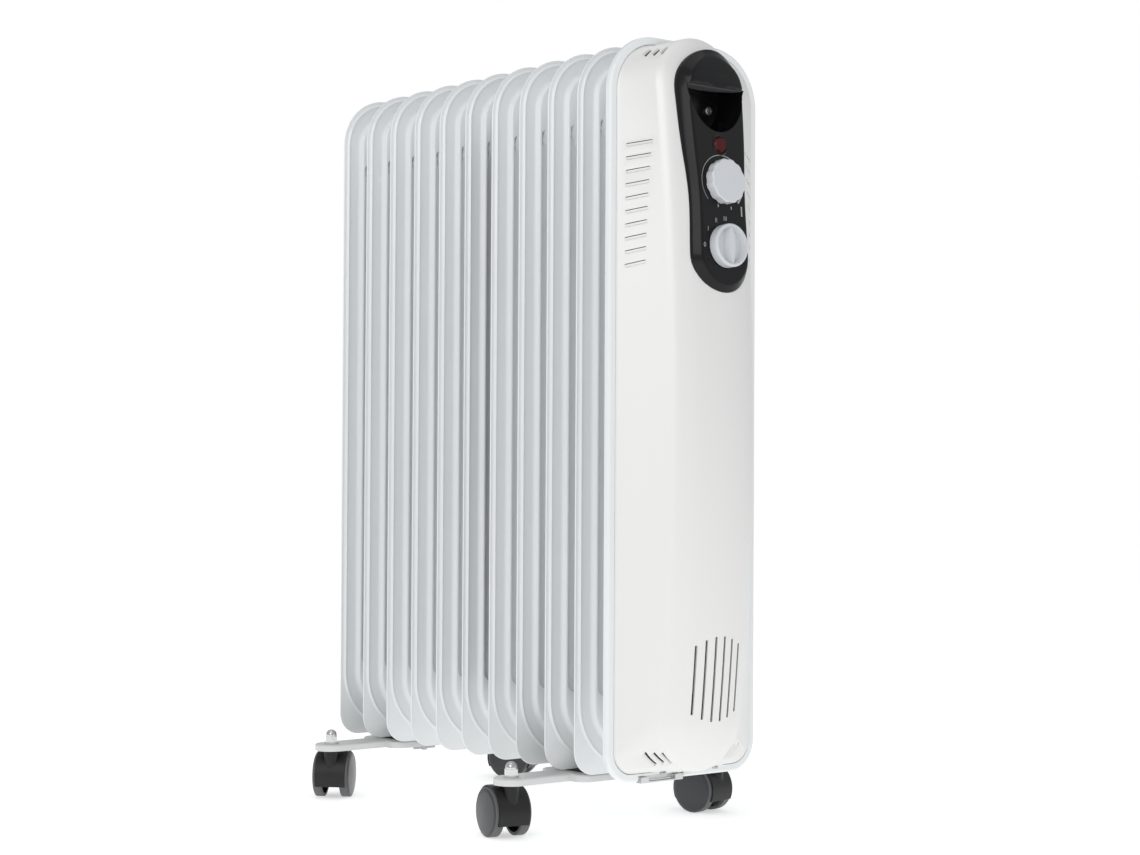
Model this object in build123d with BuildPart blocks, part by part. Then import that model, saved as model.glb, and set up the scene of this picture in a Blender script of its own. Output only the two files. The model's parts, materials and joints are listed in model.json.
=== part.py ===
"""Oil filled radiator heater on castors, as an assembly of separate pieces.

Millimetres. +Z is up, -Y is the way the control panel faces, +X is to the right of
someone who faces the panel. The origin is on the floor, under the middle of the heater.
"""
from build123d import *
from math import atan2, degrees, hypot, radians, sin, sqrt
import os

os.makedirs("parts", exist_ok=True)

# ---------------------------------------------------------------- driving dimensions
fin_count = 10
fin_pitch = 38.0
fin_half_width = 77.3
fin_low = 50.7
fin_high = 639.2
fin_low_radius = 20.0
fin_high_radius = 45.5
sheet = 0.7                 # one pressed fin sheet, two of them lie together in the rim
skin = 0.7                  # wall left around the oil

loop_inset = 4.3            # rim left outside the oil loop, at the sides and the top
loop_low = 56.5
loop_low_radius = 51.5
loop_height = 3.8           # from the middle of the fin
boss_inset = 16.3           # the raised land inside the loop
boss_low = 68.5
boss_low_radius = 39.5
boss_height = 6.0
recess_half_width = 58.0    # the long flat where the two sheets lie together
recess_low = 113.0
recess_high = 578.0
recess_low_radius = 9.0
recess_high_radius = 4.0
press_slope = 40.0          # degrees, on the walls of the pressings

header_radius = 20.0
header_bore = 17.0
upper_header_height = 600.0
lower_header_height = 90.75

tray_half_width = 79.15
tray_low = 48.9
tray_high = 641.0
tray_low_radius = 25.0
tray_high_radius = 47.0
tray_sheet = 1.2
tray_rim_width = 6.25
tray_rim_depth = 5.4

cover_half_width = 72.8
cover_low = 55.3
cover_high = 634.6          # the cover's top edge inside the tray's rim
cover_low_radius = 19.5
cover_high_radius = 41.0
brow_high = 642.3           # above the rim the cover slopes up to its front
brow_slope = 1.4            # ahead, for each unit up
shoulder_radius = 43.2      # the front outline is a long stadium
shoulder_low = 55.3
shoulder_high = 642.8
shoulder_ahead = 39.5       # ahead of the tray, at mid height
crest_rise = 16.5           # from the shoulder to the middle of the face
crease_rise = 6.9
cover_wall = 1.4
bow_middle = 327.0
bow_scale = 4350.0
face_ahead = 56.0

panel_top_centre = 595.6
panel_top_radius = 35.0
panel_low_centre = 465.0
panel_low_radius = 29.7
panel_waist = 28.6
panel_waist_height = 505.0
panel_proud = 2.2
panel_thickness = 5.2
panel_lap = 3.0             # how far the panel laps over the cover round its opening

grip_half_width = 29.5
grip_high = 600.0
grip_low = 563.5
grip_depth = 28.0
grip_wall = 1.5

lamp_height = 553.0
lamp_radius = 6.5
thermostat_height = 523.0
thermostat_radius = 17.75
selector_height = 472.0
selector_radius = 17.25
knob_height = 8.0
knob_gap = 0.5
spindle_radius = 3.0
running_clearance = 0.05

bracket_half_length = 125.6
bracket_end_radius = 14.5
bracket_top = 49.2
bracket_sheet = 2.0
bracket_rim_low = 43.4
saddle_half_length = 62.0
saddle_half_width = 30.0
castor_across = 111.1
front_bracket_fin = 2       # counted from the tray
rear_bracket_fin = 9

wheel_radius = 20.0
wheel_inner = 7.0
wheel_outer = 17.6
castor_trail = 14.0
hood_radius = 21.9
hood_inner_radius = 20.5
hood_half_width = 13.5
axle_radius = 2.5
stem_radius = 3.0
stem_low = 27.0
stem_high = 57.0

# ---------------------------------------------------------------- layout
plug_reach = 4.5
selector_lean = 2 * (selector_height - bow_middle) / bow_scale
selector_foot = face_ahead + panel_proud - (selector_height - bow_middle) ** 2 / bow_scale
# tray to the front of the lower knob, which is the foremost point
front_reach = selector_foot + knob_gap + knob_height + selector_radius * selector_lean
back_reach = fin_count * fin_pitch + boss_height + plug_reach
tray_y = (front_reach - back_reach) / 2
front_bracket_y = tray_y + front_bracket_fin * fin_pitch
rear_bracket_y = tray_y + rear_bracket_fin * fin_pitch

# castor name: stem position and the way the hood faces, in degrees from +X
castors = {
    "front_left": (-castor_across, front_bracket_y, -102.0),
    "front_right": (castor_across, front_bracket_y, -80.0),
    "rear_left": (-castor_across, rear_bracket_y, -135.0),
    "rear_right": (castor_across, rear_bracket_y, -58.0),
}


def front_plane(ahead):
    """Upright plane that faces the user, this far ahead of the tray."""
    return Plane.XZ.offset(ahead - tray_y)


def bow(height):
    """How far the bowed front falls back at this height."""
    return (height - bow_middle) ** 2 / bow_scale


def panel_plane(height, ahead):
    """Plane square to the bowed face, its normal towards the user."""
    lean = 2 * (height - bow_middle) / bow_scale
    length = hypot(1, lean)
    origin = (0, tray_y - ahead, height)
    return Plane(origin=origin, x_dir=(1, 0, 0), z_dir=(0, -1 / length, lean / length))


def panel_front(height):
    """Distance of the panel's flat front ahead of the tray."""
    return face_ahead + panel_proud - bow(height)


def upright_outline(plane, half_width, low, high, low_radius, high_radius):
    """An upright outline on an XZ plane, round at its four corners."""
    with BuildSketch(plane) as outline:
        with BuildLine():
            FilletPolyline(
                (-half_width, low),
                (half_width, low),
                (half_width, high),
                (-half_width, high),
                radius=(low_radius, low_radius, high_radius, high_radius),
                close=True,
            )
        make_face()
    return outline.sketch


def save(piece, name):
    """Label a finished piece and write it under its own name."""
    piece.label = name
    export_step(piece, f"parts/{name}.step")


# ---------------------------------------------------------------- fins
def loop_outline(plane, inset):
    """Outline of the oil loop, which leaves a wide flat corner at the foot of the rim."""
    return upright_outline(
        plane,
        fin_half_width - loop_inset - inset,
        loop_low + inset,
        fin_high - loop_inset - inset,
        loop_low_radius - inset,
        fin_high_radius - loop_inset - inset,
    )


def land_outline(plane, inset):
    """Outline of the raised land that carries the headers."""
    return upright_outline(
        plane,
        fin_half_width - boss_inset - inset,
        boss_low + inset,
        fin_high - boss_inset - inset,
        boss_low_radius - inset,
        fin_high_radius - boss_inset - inset,
    )


def recess_outline(plane, grow):
    """Outline of the long recess between the headers."""
    return upright_outline(
        plane,
        recess_half_width + grow,
        recess_low - grow,
        recess_high + grow,
        recess_low_radius + grow,
        recess_high_radius + grow,
    )


def fin(open_at_back):
    """A hollow fin on the XZ plane: two pressed sheets seamed round the rim."""
    middle = Plane.XZ
    loop_front = middle.offset(loop_height)
    land_front = middle.offset(boss_height)
    with BuildPart() as body:
        rim = upright_outline(middle, fin_half_width, fin_low, fin_high, fin_low_radius, fin_high_radius)
        extrude(rim, amount=sheet, both=True)
        extrude(loop_outline(middle, 0), amount=loop_height, taper=press_slope)
        extrude(land_outline(loop_front, 0), amount=boss_height - loop_height, taper=press_slope)
        recess_depth = boss_height - sheet
        extrude(recess_outline(land_front, 0), amount=-recess_depth, taper=press_slope, mode=Mode.SUBTRACT)
        mirror(about=middle)
    with BuildPart() as oil:
        extrude(loop_outline(middle, 1.6 * skin), amount=loop_height - skin, taper=press_slope)
        land_back = middle.offset(loop_height - skin)
        extrude(land_outline(land_back, 0.5 * skin), amount=boss_height - loop_height, taper=press_slope)
        extrude(recess_outline(middle, 1.5 * skin), amount=boss_height, mode=Mode.SUBTRACT)
        mirror(about=middle)
    with BuildPart() as hollow:
        add(body.part)
        add(oil.part, mode=Mode.SUBTRACT)
        with BuildSketch(middle):
            with Locations((0, upper_header_height), (0, lower_header_height)):
                Circle(header_bore)
        extrude(amount=boss_height, both=open_at_back, mode=Mode.SUBTRACT)
    return hollow.part


fin_closed = fin(open_at_back=False)
fin_open = fin(open_at_back=True)
for number in range(1, fin_count + 1):
    # fin 1 is the one farthest from the tray, and its back carries only the filler plug
    fin_y = tray_y + fin_pitch * (fin_count + 1 - number)
    shape = fin_closed if number == 1 else fin_open
    save(shape.moved(Location((0, fin_y, 0))), f"fin_{number:02d}")

# ---------------------------------------------------------------- headers, plug, heating element
collar_length = fin_pitch - 2 * boss_height
tray_collar_length = fin_pitch - boss_height - tray_sheet
for name, height in (("upper_header", upper_header_height), ("lower_header", lower_header_height)):
    with BuildPart() as header:
        for step in range(fin_count):
            ahead_of_collar = -tray_sheet if step == 0 else -(step * fin_pitch + boss_height)
            length = tray_collar_length if step == 0 else collar_length
            with BuildSketch(front_plane(ahead_of_collar)):
                with Locations((0, height)):
                    Circle(header_radius)
                    Circle(header_bore, mode=Mode.SUBTRACT)
            extrude(amount=-length)
    save(header.part, name)

plug_radius = 8.0
plug_flange_radius = 11.0
plug_flange = 1.5
with BuildPart() as filler_plug:
    with BuildSketch(front_plane(-(back_reach - plug_reach))):
        with Locations((0, upper_header_height)):
            Circle(plug_flange_radius)
    extrude(amount=-plug_flange)
    with BuildSketch(front_plane(-(back_reach - plug_reach + plug_flange))):
        with Locations((0, upper_header_height)):
            RegularPolygon(plug_radius, 6)
    extrude(amount=-(plug_reach - plug_flange))
save(filler_plug.part, "filler_plug")

element_tube_radius = 3.75
element_spread = 6.5
element_reach = fin_pitch * (fin_count - 1)
flange_radius = 27.0
flange_thickness = 4.0
with BuildPart() as heating_element:
    for across in (-element_spread, element_spread):
        with BuildLine(Plane.YZ.offset(across)) as hairpin:
            lower_leg = Line(
                (tray_y, lower_header_height - element_spread),
                (tray_y + element_reach, lower_header_height - element_spread),
            )
            bend = ThreePointArc(
                lower_leg @ 1,
                (tray_y + element_reach + element_spread, lower_header_height),
                (tray_y + element_reach, lower_header_height + element_spread),
            )
            Line(bend @ 1, (tray_y, lower_header_height + element_spread))
        with BuildSketch(Plane(origin=hairpin.line @ 0, z_dir=hairpin.line % 0)):
            Circle(element_tube_radius)
        sweep(path=hairpin.line)
save(heating_element.part, "heating_element")

terminal_radius = 2.0
terminal_length = 9.0
with BuildPart() as element_flange:
    with BuildSketch(front_plane(0)):
        with Locations((0, lower_header_height)):
            Circle(flange_radius)
    extrude(amount=flange_thickness)
    with BuildSketch(front_plane(flange_thickness)):
        with Locations((0, lower_header_height)):
            with GridLocations(2 * element_spread, 2 * element_spread, 2, 2):
                Circle(terminal_radius)
    extrude(amount=terminal_length)
save(element_flange.part, "element_flange")

# ---------------------------------------------------------------- front tray
clip_half_width = 22.0
clip_middle = -23.0
clip_notch_depth = 4.6
clip_sheet = 1.0
cord_ahead = 14.0           # ahead of the tray, in the cover's flat underside
cord_bore = 4.0
bush_body = 6.0


def tray_outline(plane, inset):
    """Outline of the tray, drawn in by this much all round."""
    return upright_outline(
        plane,
        tray_half_width - inset,
        tray_low + inset,
        tray_high - inset,
        tray_low_radius - inset,
        tray_high_radius - inset,
    )


rim_wall = 1.1
rim_round = 2.6
with BuildPart() as front_tray:
    extrude(tray_outline(front_plane(0), 0), amount=tray_rim_depth)
    fillet(front_tray.faces().sort_by(Axis.Y)[0].edges(), rim_round)
    extrude(tray_outline(front_plane(0), tray_rim_width), amount=tray_rim_depth, mode=Mode.SUBTRACT)
    # the rim is rolled out of the sheet, so it is hollow and open behind
    with BuildSketch(front_plane(0)):
        add(tray_outline(front_plane(0), rim_wall))
        add(tray_outline(front_plane(0), tray_rim_width - rim_wall), mode=Mode.SUBTRACT)
    extrude(amount=tray_rim_depth - 1.5 * rim_wall, mode=Mode.SUBTRACT)
    extrude(tray_outline(front_plane(0), tray_rim_width - rim_wall), amount=-tray_sheet)
    with BuildSketch(front_plane(-tray_sheet)):
        with Locations((0, lower_header_height)):
            Circle(header_bore)
    extrude(amount=tray_sheet, mode=Mode.SUBTRACT)
    with BuildSketch(front_plane(tray_rim_depth)):
        with Locations((clip_middle, tray_low)):
            Rectangle(2 * clip_half_width + 4, 2 * clip_notch_depth)
    extrude(amount=-(tray_rim_depth - 0.5), mode=Mode.SUBTRACT)
save(front_tray.part, "front_tray")


# ---------------------------------------------------------------- front cover
shoulder_low_centre = shoulder_low + shoulder_radius
shoulder_high_centre = shoulder_high - shoulder_radius
sections = (56.0, 60.0, 68.0, 80.0, shoulder_low_centre, 213.0, 327.0, 441.0, 520.0)
sections += (shoulder_high_centre, 618.0, 630.0, cover_high)
brow_sections = (cover_high, 637.5, 640.3, brow_high)


def back_half(height):
    """Half width of the cover's back edge at this height."""
    over = height - (cover_high - cover_high_radius)
    under = cover_low + cover_low_radius - height
    if over > cover_high_radius:
        left_over = (brow_high - height) / (brow_high - cover_high)
        return shoulder_half(height) + 6.0 * left_over
    if over > 0:
        return cover_half_width - cover_high_radius + sqrt(cover_high_radius**2 - over**2)
    if under > 0:
        return cover_half_width - cover_low_radius + sqrt(cover_low_radius**2 - under**2)
    return cover_half_width


def shoulder_half(height):
    """Half width of the cover's front shoulder at this height."""
    beyond = max(height - shoulder_high_centre, shoulder_low_centre - height, 0)
    return sqrt(shoulder_radius**2 - beyond**2)


def brow(height):
    """How far ahead of the tray the cover's sloping top begins at this height."""
    return tray_rim_depth + brow_slope * (height - cover_high)


def cover_section(height, inset, back):
    """The cover's outline at one height, drawn in by a wall thickness if wanted."""
    front_half = shoulder_half(height)
    swell = (front_half / shoulder_radius) ** 0.7
    shoulder = shoulder_ahead - bow(height) - inset
    right = (
        (back_half(height) - inset, back),
        (back_half(height) - inset, max(back + 0.3, tray_rim_depth)),
        (front_half - inset, shoulder),
        (0.81 * (front_half - inset), shoulder + crease_rise * swell),
        (0.4 * (front_half - inset), shoulder + 0.87 * crest_rise * swell),
    )
    left = [(-across, ahead) for across, ahead in reversed(right)]
    outline = [*right, (0, shoulder + crest_rise * swell), *left]
    with BuildSketch(Plane.XY.offset(height)) as section:
        with BuildLine():
            Polyline([(across, tray_y - ahead) for across, ahead in outline], close=True)
        make_face()
    return section.sketch


with BuildPart() as cover_blank:
    loft([cover_section(height, 0, 0.2) for height in sections], ruled=True)
    loft([cover_section(height, 0, brow(height)) for height in brow_sections], ruled=True)

inner_high = cover_high - cover_wall
inner_sections = [sections[0] + cover_wall, *sections[1:-1], inner_high]
brow_wall = cover_wall * hypot(1, brow_slope)
with BuildPart() as cover_hollow:
    loft([cover_section(height, cover_wall, -1.0) for height in inner_sections], ruled=True)
    inner_brow = (inner_high, cover_high, 637.0, 639.0)
    loft([cover_section(height, cover_wall, brow(height) + brow_wall) for height in inner_brow], ruled=True)


def panel_outline(plane, inset):
    """Outline of the control panel: two round ends and a waist between them."""
    high_half = panel_top_radius - inset
    low_half = panel_low_radius - inset
    waist = (panel_waist - inset, panel_waist_height)
    with BuildSketch(plane) as outline:
        with BuildLine():
            Spline(
                (high_half, panel_top_centre),
                waist,
                (low_half, panel_low_centre),
                tangents=((0, -1), (0, -1)),
            )
            ThreePointArc(
                (low_half, panel_low_centre),
                (0, panel_low_centre - low_half),
                (-low_half, panel_low_centre),
            )
            Spline(
                (-low_half, panel_low_centre),
                (-waist[0], waist[1]),
                (-high_half, panel_top_centre),
                tangents=((0, 1), (0, 1)),
            )
            ThreePointArc(
                (-high_half, panel_top_centre),
                (0, panel_top_centre + high_half),
                (high_half, panel_top_centre),
            )
        make_face()
    return outline.sketch


vent_spacing = 9.0
vent_width = 2.2
vent_middle = 130.5
vent_half_lengths = (27.5, 31.5, 33.8)
louvre_count = 10
louvre_low = 457.0
louvre_pitch = 10.6
louvre_length = 12.5
louvre_width = 1.6
louvre_ahead = 16.5
louvre_slant = 17.0
slit_thickness = 1.1
slit_reach = 9.0
# start and end of each corner slit as (across, height), and its distance ahead
corner_slits = (
    ((51.0, 625.4), (44.6, 631.0), 11.0),
    ((45.0, 627.0), (38.0, 633.0), 13.6),
    ((39.0, 628.8), (31.0, 635.5), 16.2),
    ((52.0, 71.7), (38.7, 63.0), 16.5),
    ((46.0, 70.5), (33.6, 62.0), 19.0),
    ((40.3, 69.7), (27.3, 61.2), 21.4),
)
with BuildPart() as front_cover:
    add(cover_blank.part)
    add(cover_hollow.part, mode=Mode.SUBTRACT)
    opening = panel_outline(front_plane(face_ahead + 10), panel_lap)
    extrude(opening, amount=-(face_ahead - 10), mode=Mode.SUBTRACT)
    for rank, half_length in enumerate(reversed(vent_half_lengths)):
        with BuildSketch(front_plane(face_ahead)):
            with Locations((0, vent_middle)):
                with GridLocations((2 * rank + 1) * vent_spacing, 0, 2, 1):
                    SlotOverall(2 * half_length, vent_width, rotation=90)
        extrude(amount=-20, mode=Mode.SUBTRACT)
    with BuildSketch(Plane.YZ):
        for step in range(louvre_count):
            with Locations((tray_y - louvre_ahead, louvre_low + step * louvre_pitch)):
                SlotOverall(louvre_length, louvre_width, rotation=-louvre_slant)
    extrude(amount=cover_half_width, both=True, mode=Mode.SUBTRACT)
    for start, end, ahead in corner_slits:
        slope = (end[1] - start[1]) / (end[0] - start[0])
        middle = ((start[0] + end[0]) / 2, (start[1] + end[1]) / 2)
        for side in (-1, 1):
            with BuildSketch(front_plane(ahead)):
                with Locations(Location((side * middle[0], middle[1]), degrees(atan2(side * slope, 1)))):
                    Rectangle(hypot(start[0] - end[0], start[1] - end[1]), slit_reach)
            extrude(amount=slit_thickness, mode=Mode.SUBTRACT)
    with BuildSketch(Plane.XY.offset(sections[0])):
        with Locations((0, tray_y - cord_ahead)):
            Circle(bush_body)
    extrude(amount=cover_wall, mode=Mode.SUBTRACT)
save(front_cover.part, "front_cover")

# ---------------------------------------------------------------- control panel
with BuildPart() as panel_slab:
    # the slab follows the bow of the face, from the panel's front to deep behind it
    slab_depth = 14.0
    heights = (panel_low_centre - 40, bow_middle + 180, panel_top_centre + 45)
    with BuildSketch(Plane.YZ):
        with BuildLine():
            front = ThreePointArc([(tray_y - panel_front(height), height) for height in heights])
            back = ThreePointArc([(tray_y - panel_front(height) + slab_depth, height) for height in heights])
            Line(front @ 0, back @ 0)
            Line(front @ 1, back @ 1)
        make_face()
    extrude(amount=panel_top_radius + 5, both=True)

with BuildPart() as panel_body:
    with BuildSketch(Plane.YZ):
        with BuildLine():
            front = ThreePointArc([(tray_y - panel_front(height), height) for height in heights])
            back = ThreePointArc([(tray_y - panel_front(height) + panel_thickness, height) for height in heights])
            Line(front @ 0, back @ 0)
            Line(front @ 1, back @ 1)
        make_face()
    extrude(amount=panel_top_radius + 5, both=True)
    extrude(
        panel_outline(front_plane(face_ahead + 10), panel_lap + 0.2),
        amount=-(face_ahead - 10),
        mode=Mode.INTERSECT,
    )


def grip_outline(plane, grow):
    """Outline of the hand grip: level at the top and a half ellipse below."""
    with BuildSketch(plane) as outline:
        with Locations((0, grip_high)):
            Ellipse(grip_half_width + grow, grip_high - grip_low + grow)
        with Locations((0, grip_high + grow)):
            Rectangle(
                3 * grip_half_width,
                2 * grip_half_width,
                align=(Align.CENTER, Align.MIN),
                mode=Mode.SUBTRACT,
            )
    return outline.sketch


grip_front = panel_front(grip_high) + 3
grip_back = panel_front(grip_high) - grip_depth
spindle_hole_radius = 4.6
screw_across = 17.0
screw_height = 586.0
with BuildPart() as control_panel:
    add(panel_slab.part)
    extrude(panel_outline(front_plane(face_ahead + 10), 0), amount=-(face_ahead - 10), mode=Mode.INTERSECT)
    add(cover_blank.part, mode=Mode.SUBTRACT)
    add(panel_body.part)
    extrude(grip_outline(front_plane(grip_back - grip_wall), grip_wall), amount=grip_depth)
    extrude(grip_outline(front_plane(grip_back), 0), amount=grip_depth + 10, mode=Mode.SUBTRACT)
    for height, radius in (
        (lamp_height, lamp_radius),
        (thermostat_height, spindle_hole_radius),
        (selector_height, spindle_hole_radius),
    ):
        with BuildSketch(panel_plane(height, panel_front(height)).offset(3)):
            Circle(radius)
        extrude(amount=-(panel_thickness + 6), mode=Mode.SUBTRACT)
save(control_panel.part, "control_panel")

# ---------------------------------------------------------------- panel fittings
lens_gap = 0.1
lens_dome = 1.8
lens_depth = 6.0
with BuildPart() as indicator_lens:
    lens_front = panel_plane(lamp_height, panel_front(lamp_height))
    with BuildSketch(lens_front):
        Circle(lamp_radius - lens_gap)
    extrude(amount=-lens_depth)
    with BuildSketch(lens_front):
        Circle(lamp_radius - lens_gap)
    extrude(amount=lens_dome, taper=35)
save(indicator_lens.part, "indicator_lens")

lamp_body_radius = 4.5
lamp_body_length = 16.0
with BuildPart() as indicator_lamp:
    with BuildSketch(panel_plane(lamp_height, panel_front(lamp_height)).offset(-lens_depth)):
        Circle(lamp_body_radius)
    extrude(amount=-lamp_body_length)
save(indicator_lamp.part, "indicator_lamp")

grip_screw_radius = 4.0
with BuildPart() as panel_screws:
    with BuildSketch(front_plane(grip_back)):
        with Locations((-screw_across, screw_height), (screw_across, screw_height)):
            Circle(grip_screw_radius)
    extrude(amount=2.4)
    fillet(panel_screws.faces().sort_by(Axis.Y)[:2].edges(), 1.4)
    with BuildSketch(front_plane(grip_back + 2.4)):
        with Locations((-screw_across, screw_height), (screw_across, screw_height)):
            Rectangle(5, 1)
            Rectangle(1, 5)
    extrude(amount=-1.2, mode=Mode.SUBTRACT)
save(panel_screws.part, "panel_screws")

control_depth = 20.0
control_gap = 0.4
spindle_seat = 9.0          # how deep the spindle runs in its bush
bush_radius = 4.2
spindle_length = spindle_seat + panel_thickness + control_gap + knob_gap
thermostat_grip = 5.0       # how deep the spindle stands in the knob
selector_grip = 2.5


def control_body(height, width, tall):
    """A switch or thermostat behind the panel, with the bush its spindle turns in."""
    rear = panel_plane(height, panel_front(height)).offset(-(panel_thickness + control_gap))
    with BuildPart() as body:
        with BuildSketch(rear):
            Rectangle(width, tall)
        extrude(amount=-control_depth)
        fillet(body.edges().filter_by(lambda edge: abs(edge.length - control_depth) < 0.01), 2.0)
        with BuildSketch(rear):
            Circle(bush_radius)
        extrude(amount=panel_thickness - 1)
        with BuildSketch(rear.offset(panel_thickness - 1)):
            Circle(spindle_radius + running_clearance)
        extrude(amount=-(panel_thickness - 1 + spindle_seat + 0.5), mode=Mode.SUBTRACT)
    return body.part


def control_spindle(height, grip):
    """A plain spindle that turns in the control's bush and drives the knob."""
    foot = panel_plane(height, panel_front(height)).offset(-(panel_thickness + control_gap + spindle_seat))
    with BuildPart() as spindle:
        with BuildSketch(foot):
            Circle(spindle_radius)
        extrude(amount=spindle_length + grip)
    return spindle.part


save(control_body(thermostat_height, 26.0, 28.0), "thermostat")
save(control_body(selector_height, 26.0, 24.0), "selector_switch")
save(control_spindle(thermostat_height, thermostat_grip), "thermostat_spindle")
save(control_spindle(selector_height, selector_grip), "selector_spindle")

lobe_count = 12
lobe_radius = 9.0
lobe_depth = 0.7
knob_round = 1.6
with BuildPart() as thermostat_knob:
    seat = panel_plane(thermostat_height, panel_front(thermostat_height)).offset(knob_gap)
    with BuildSketch(seat):
        Circle(thermostat_radius)
        with PolarLocations(thermostat_radius + lobe_radius - lobe_depth, lobe_count):
            Circle(lobe_radius, mode=Mode.SUBTRACT)
    extrude(amount=knob_height)
    top_edges = thermostat_knob.faces().sort_by(Axis.Y)[0].edges()
    chamfer(top_edges, 0.9)
    with BuildSketch(seat):
        Circle(spindle_radius)
    extrude(amount=thermostat_grip, mode=Mode.SUBTRACT)
save(thermostat_knob.part, "thermostat_knob")

blade_half_width = 2.8
blade_half_length = 14.8
scoop_radius = 15.0
scoop_depth = 5.0
with BuildPart() as power_knob:
    seat = panel_plane(selector_height, panel_front(selector_height)).offset(knob_gap)
    with BuildSketch(seat):
        Circle(selector_radius)
    extrude(amount=knob_height)
    fillet(power_knob.faces().sort_by(Axis.Y)[0].edges(), knob_round)
    with BuildSketch(seat.offset(knob_height)) as scoops:
        Circle(scoop_radius)
        with BuildLine(mode=Mode.PRIVATE) as blade_line:
            ThreePointArc((0, -blade_half_length), (blade_half_width, 0), (0, blade_half_length))
            ThreePointArc((0, blade_half_length), (-blade_half_width, 0), (0, -blade_half_length))
        make_face(blade_line.edges(), mode=Mode.SUBTRACT)
    extrude(amount=-scoop_depth, taper=25, mode=Mode.SUBTRACT)
    with BuildSketch(seat):
        Circle(spindle_radius)
    extrude(amount=selector_grip, mode=Mode.SUBTRACT)
save(power_knob.part, "power_knob")

# ---------------------------------------------------------------- wiring bay
block_height = 168.0
block_width = 34.0
block_tall = 18.0
block_depth = 16.0
with BuildPart() as terminal_block:
    with BuildSketch(front_plane(0)):
        with Locations((30, block_height)):
            Rectangle(block_width, block_tall)
    extrude(amount=block_depth)
    with BuildSketch(front_plane(block_depth)):
        with Locations((30, block_height)):
            with GridLocations(11, 0, 3, 1):
                Circle(3.2)
    extrude(amount=-5, mode=Mode.SUBTRACT)
save(terminal_block.part, "terminal_block")

cutout_height = 150.0
with BuildPart() as thermal_cutout:
    with BuildSketch(front_plane(0)):
        with Locations((0, cutout_height)):
            SlotOverall(34, 10)
    extrude(amount=1.2)
    with BuildSketch(front_plane(1.2)):
        with Locations((0, cutout_height)):
            Circle(8)
    extrude(amount=8)
    with BuildSketch(front_plane(9.2)):
        with Locations((0, cutout_height)):
            with GridLocations(8, 0, 2, 1):
                Rectangle(1, 6)
    extrude(amount=6)
save(thermal_cutout.part, "thermal_cutout")

loom_radius = 3.0
loom_across = 30.0
with BuildPart() as wiring_loom:
    loom_top = selector_height - 20
    loom_foot = (loom_across, tray_y - block_depth / 2, block_height + block_tall / 2)
    with BuildLine() as loom_route:
        FilletPolyline(
            loom_foot,
            (loom_across, tray_y - block_depth / 2, 230),
            (18, tray_y - 14, 300),
            (18, tray_y - 14, loom_top - 30),
            (0, tray_y - 24, loom_top),
            radius=(24, 24, 12),
        )
    with BuildSketch(Plane(origin=loom_route.line @ 0, z_dir=loom_route.line % 0)):
        Circle(loom_radius)
    sweep(path=loom_route.line)
save(wiring_loom.part, "wiring_loom")

bush_flange = 8.0
bush_flange_thickness = 2.0
bush_length = 10.0
with BuildPart() as cord_bush:
    # flush with the cover below, its flange lying on the cover's floor inside
    with BuildSketch(Plane.XY.offset(sections[0] + cover_wall)):
        with Locations((0, tray_y - cord_ahead)):
            Circle(bush_flange)
    extrude(amount=bush_flange_thickness)
    with BuildSketch(Plane.XY.offset(sections[0])):
        with Locations((0, tray_y - cord_ahead)):
            Circle(bush_body)
    extrude(amount=bush_length)
    with BuildSketch(Plane.XY.offset(sections[0])):
        with Locations((0, tray_y - cord_ahead)):
            Circle(cord_bore)
    extrude(amount=bush_length, mode=Mode.SUBTRACT)
save(cord_bush.part, "cord_bush")

# ---------------------------------------------------------------- clip and screws of the cover
clip_low = 47.6
with BuildPart() as cover_clip:
    with BuildSketch(front_plane(0.6)):
        with Locations((clip_middle, tray_low + clip_notch_depth / 2 + 0.2)):
            Rectangle(2 * clip_half_width, clip_notch_depth - 0.6)
    extrude(amount=clip_sheet)
    with BuildSketch(Plane.XY.offset(clip_low)):
        with Locations((clip_middle, tray_y - 3.6)):
            Rectangle(2 * clip_half_width, 6.0)
    extrude(amount=clip_sheet)
    for side in (-1, 1):
        with BuildSketch(Plane.XY.offset(clip_low)):
            with Locations((clip_middle + side * (clip_half_width - 4), tray_y - 3.6)):
                Rectangle(8, 6.0)
        extrude(amount=clip_notch_depth)
save(cover_clip.part, "cover_clip")

cover_screw_radius = 2.6
with BuildPart() as cover_screws:
    with BuildSketch(Plane.XY.offset(sections[0])):
        with Locations((-28, tray_y - 13), (28, tray_y - 13)):
            Circle(cover_screw_radius)
    extrude(amount=-1.5)
save(cover_screws.part, "cover_screws")

# ---------------------------------------------------------------- castor brackets
pad_half_length = 50.0
pad_half_width = 24.0
neck_radius = 7.0
neck_low = 43.7
bolt_rod_radius = 2.5
bolt_spread = header_radius + bolt_rod_radius + 0.3
bolt_low = 39.0
u_bolt_offset = fin_pitch / 2
bracket_places = {
    "front": (front_bracket_y, front_bracket_y + u_bolt_offset),
    "rear": (rear_bracket_y, rear_bracket_y - u_bolt_offset),
}


def bracket_outline(plane, inset):
    """Plan of a bracket: a long slot with round ends and a wider saddle in the middle."""
    with BuildSketch(plane) as outline:
        SlotOverall(2 * (bracket_half_length - inset), 2 * (bracket_end_radius - inset))
        RectangleRounded(
            2 * (saddle_half_length - inset),
            2 * (saddle_half_width - inset),
            12.0 - inset,
        )
    return outline.sketch


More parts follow.
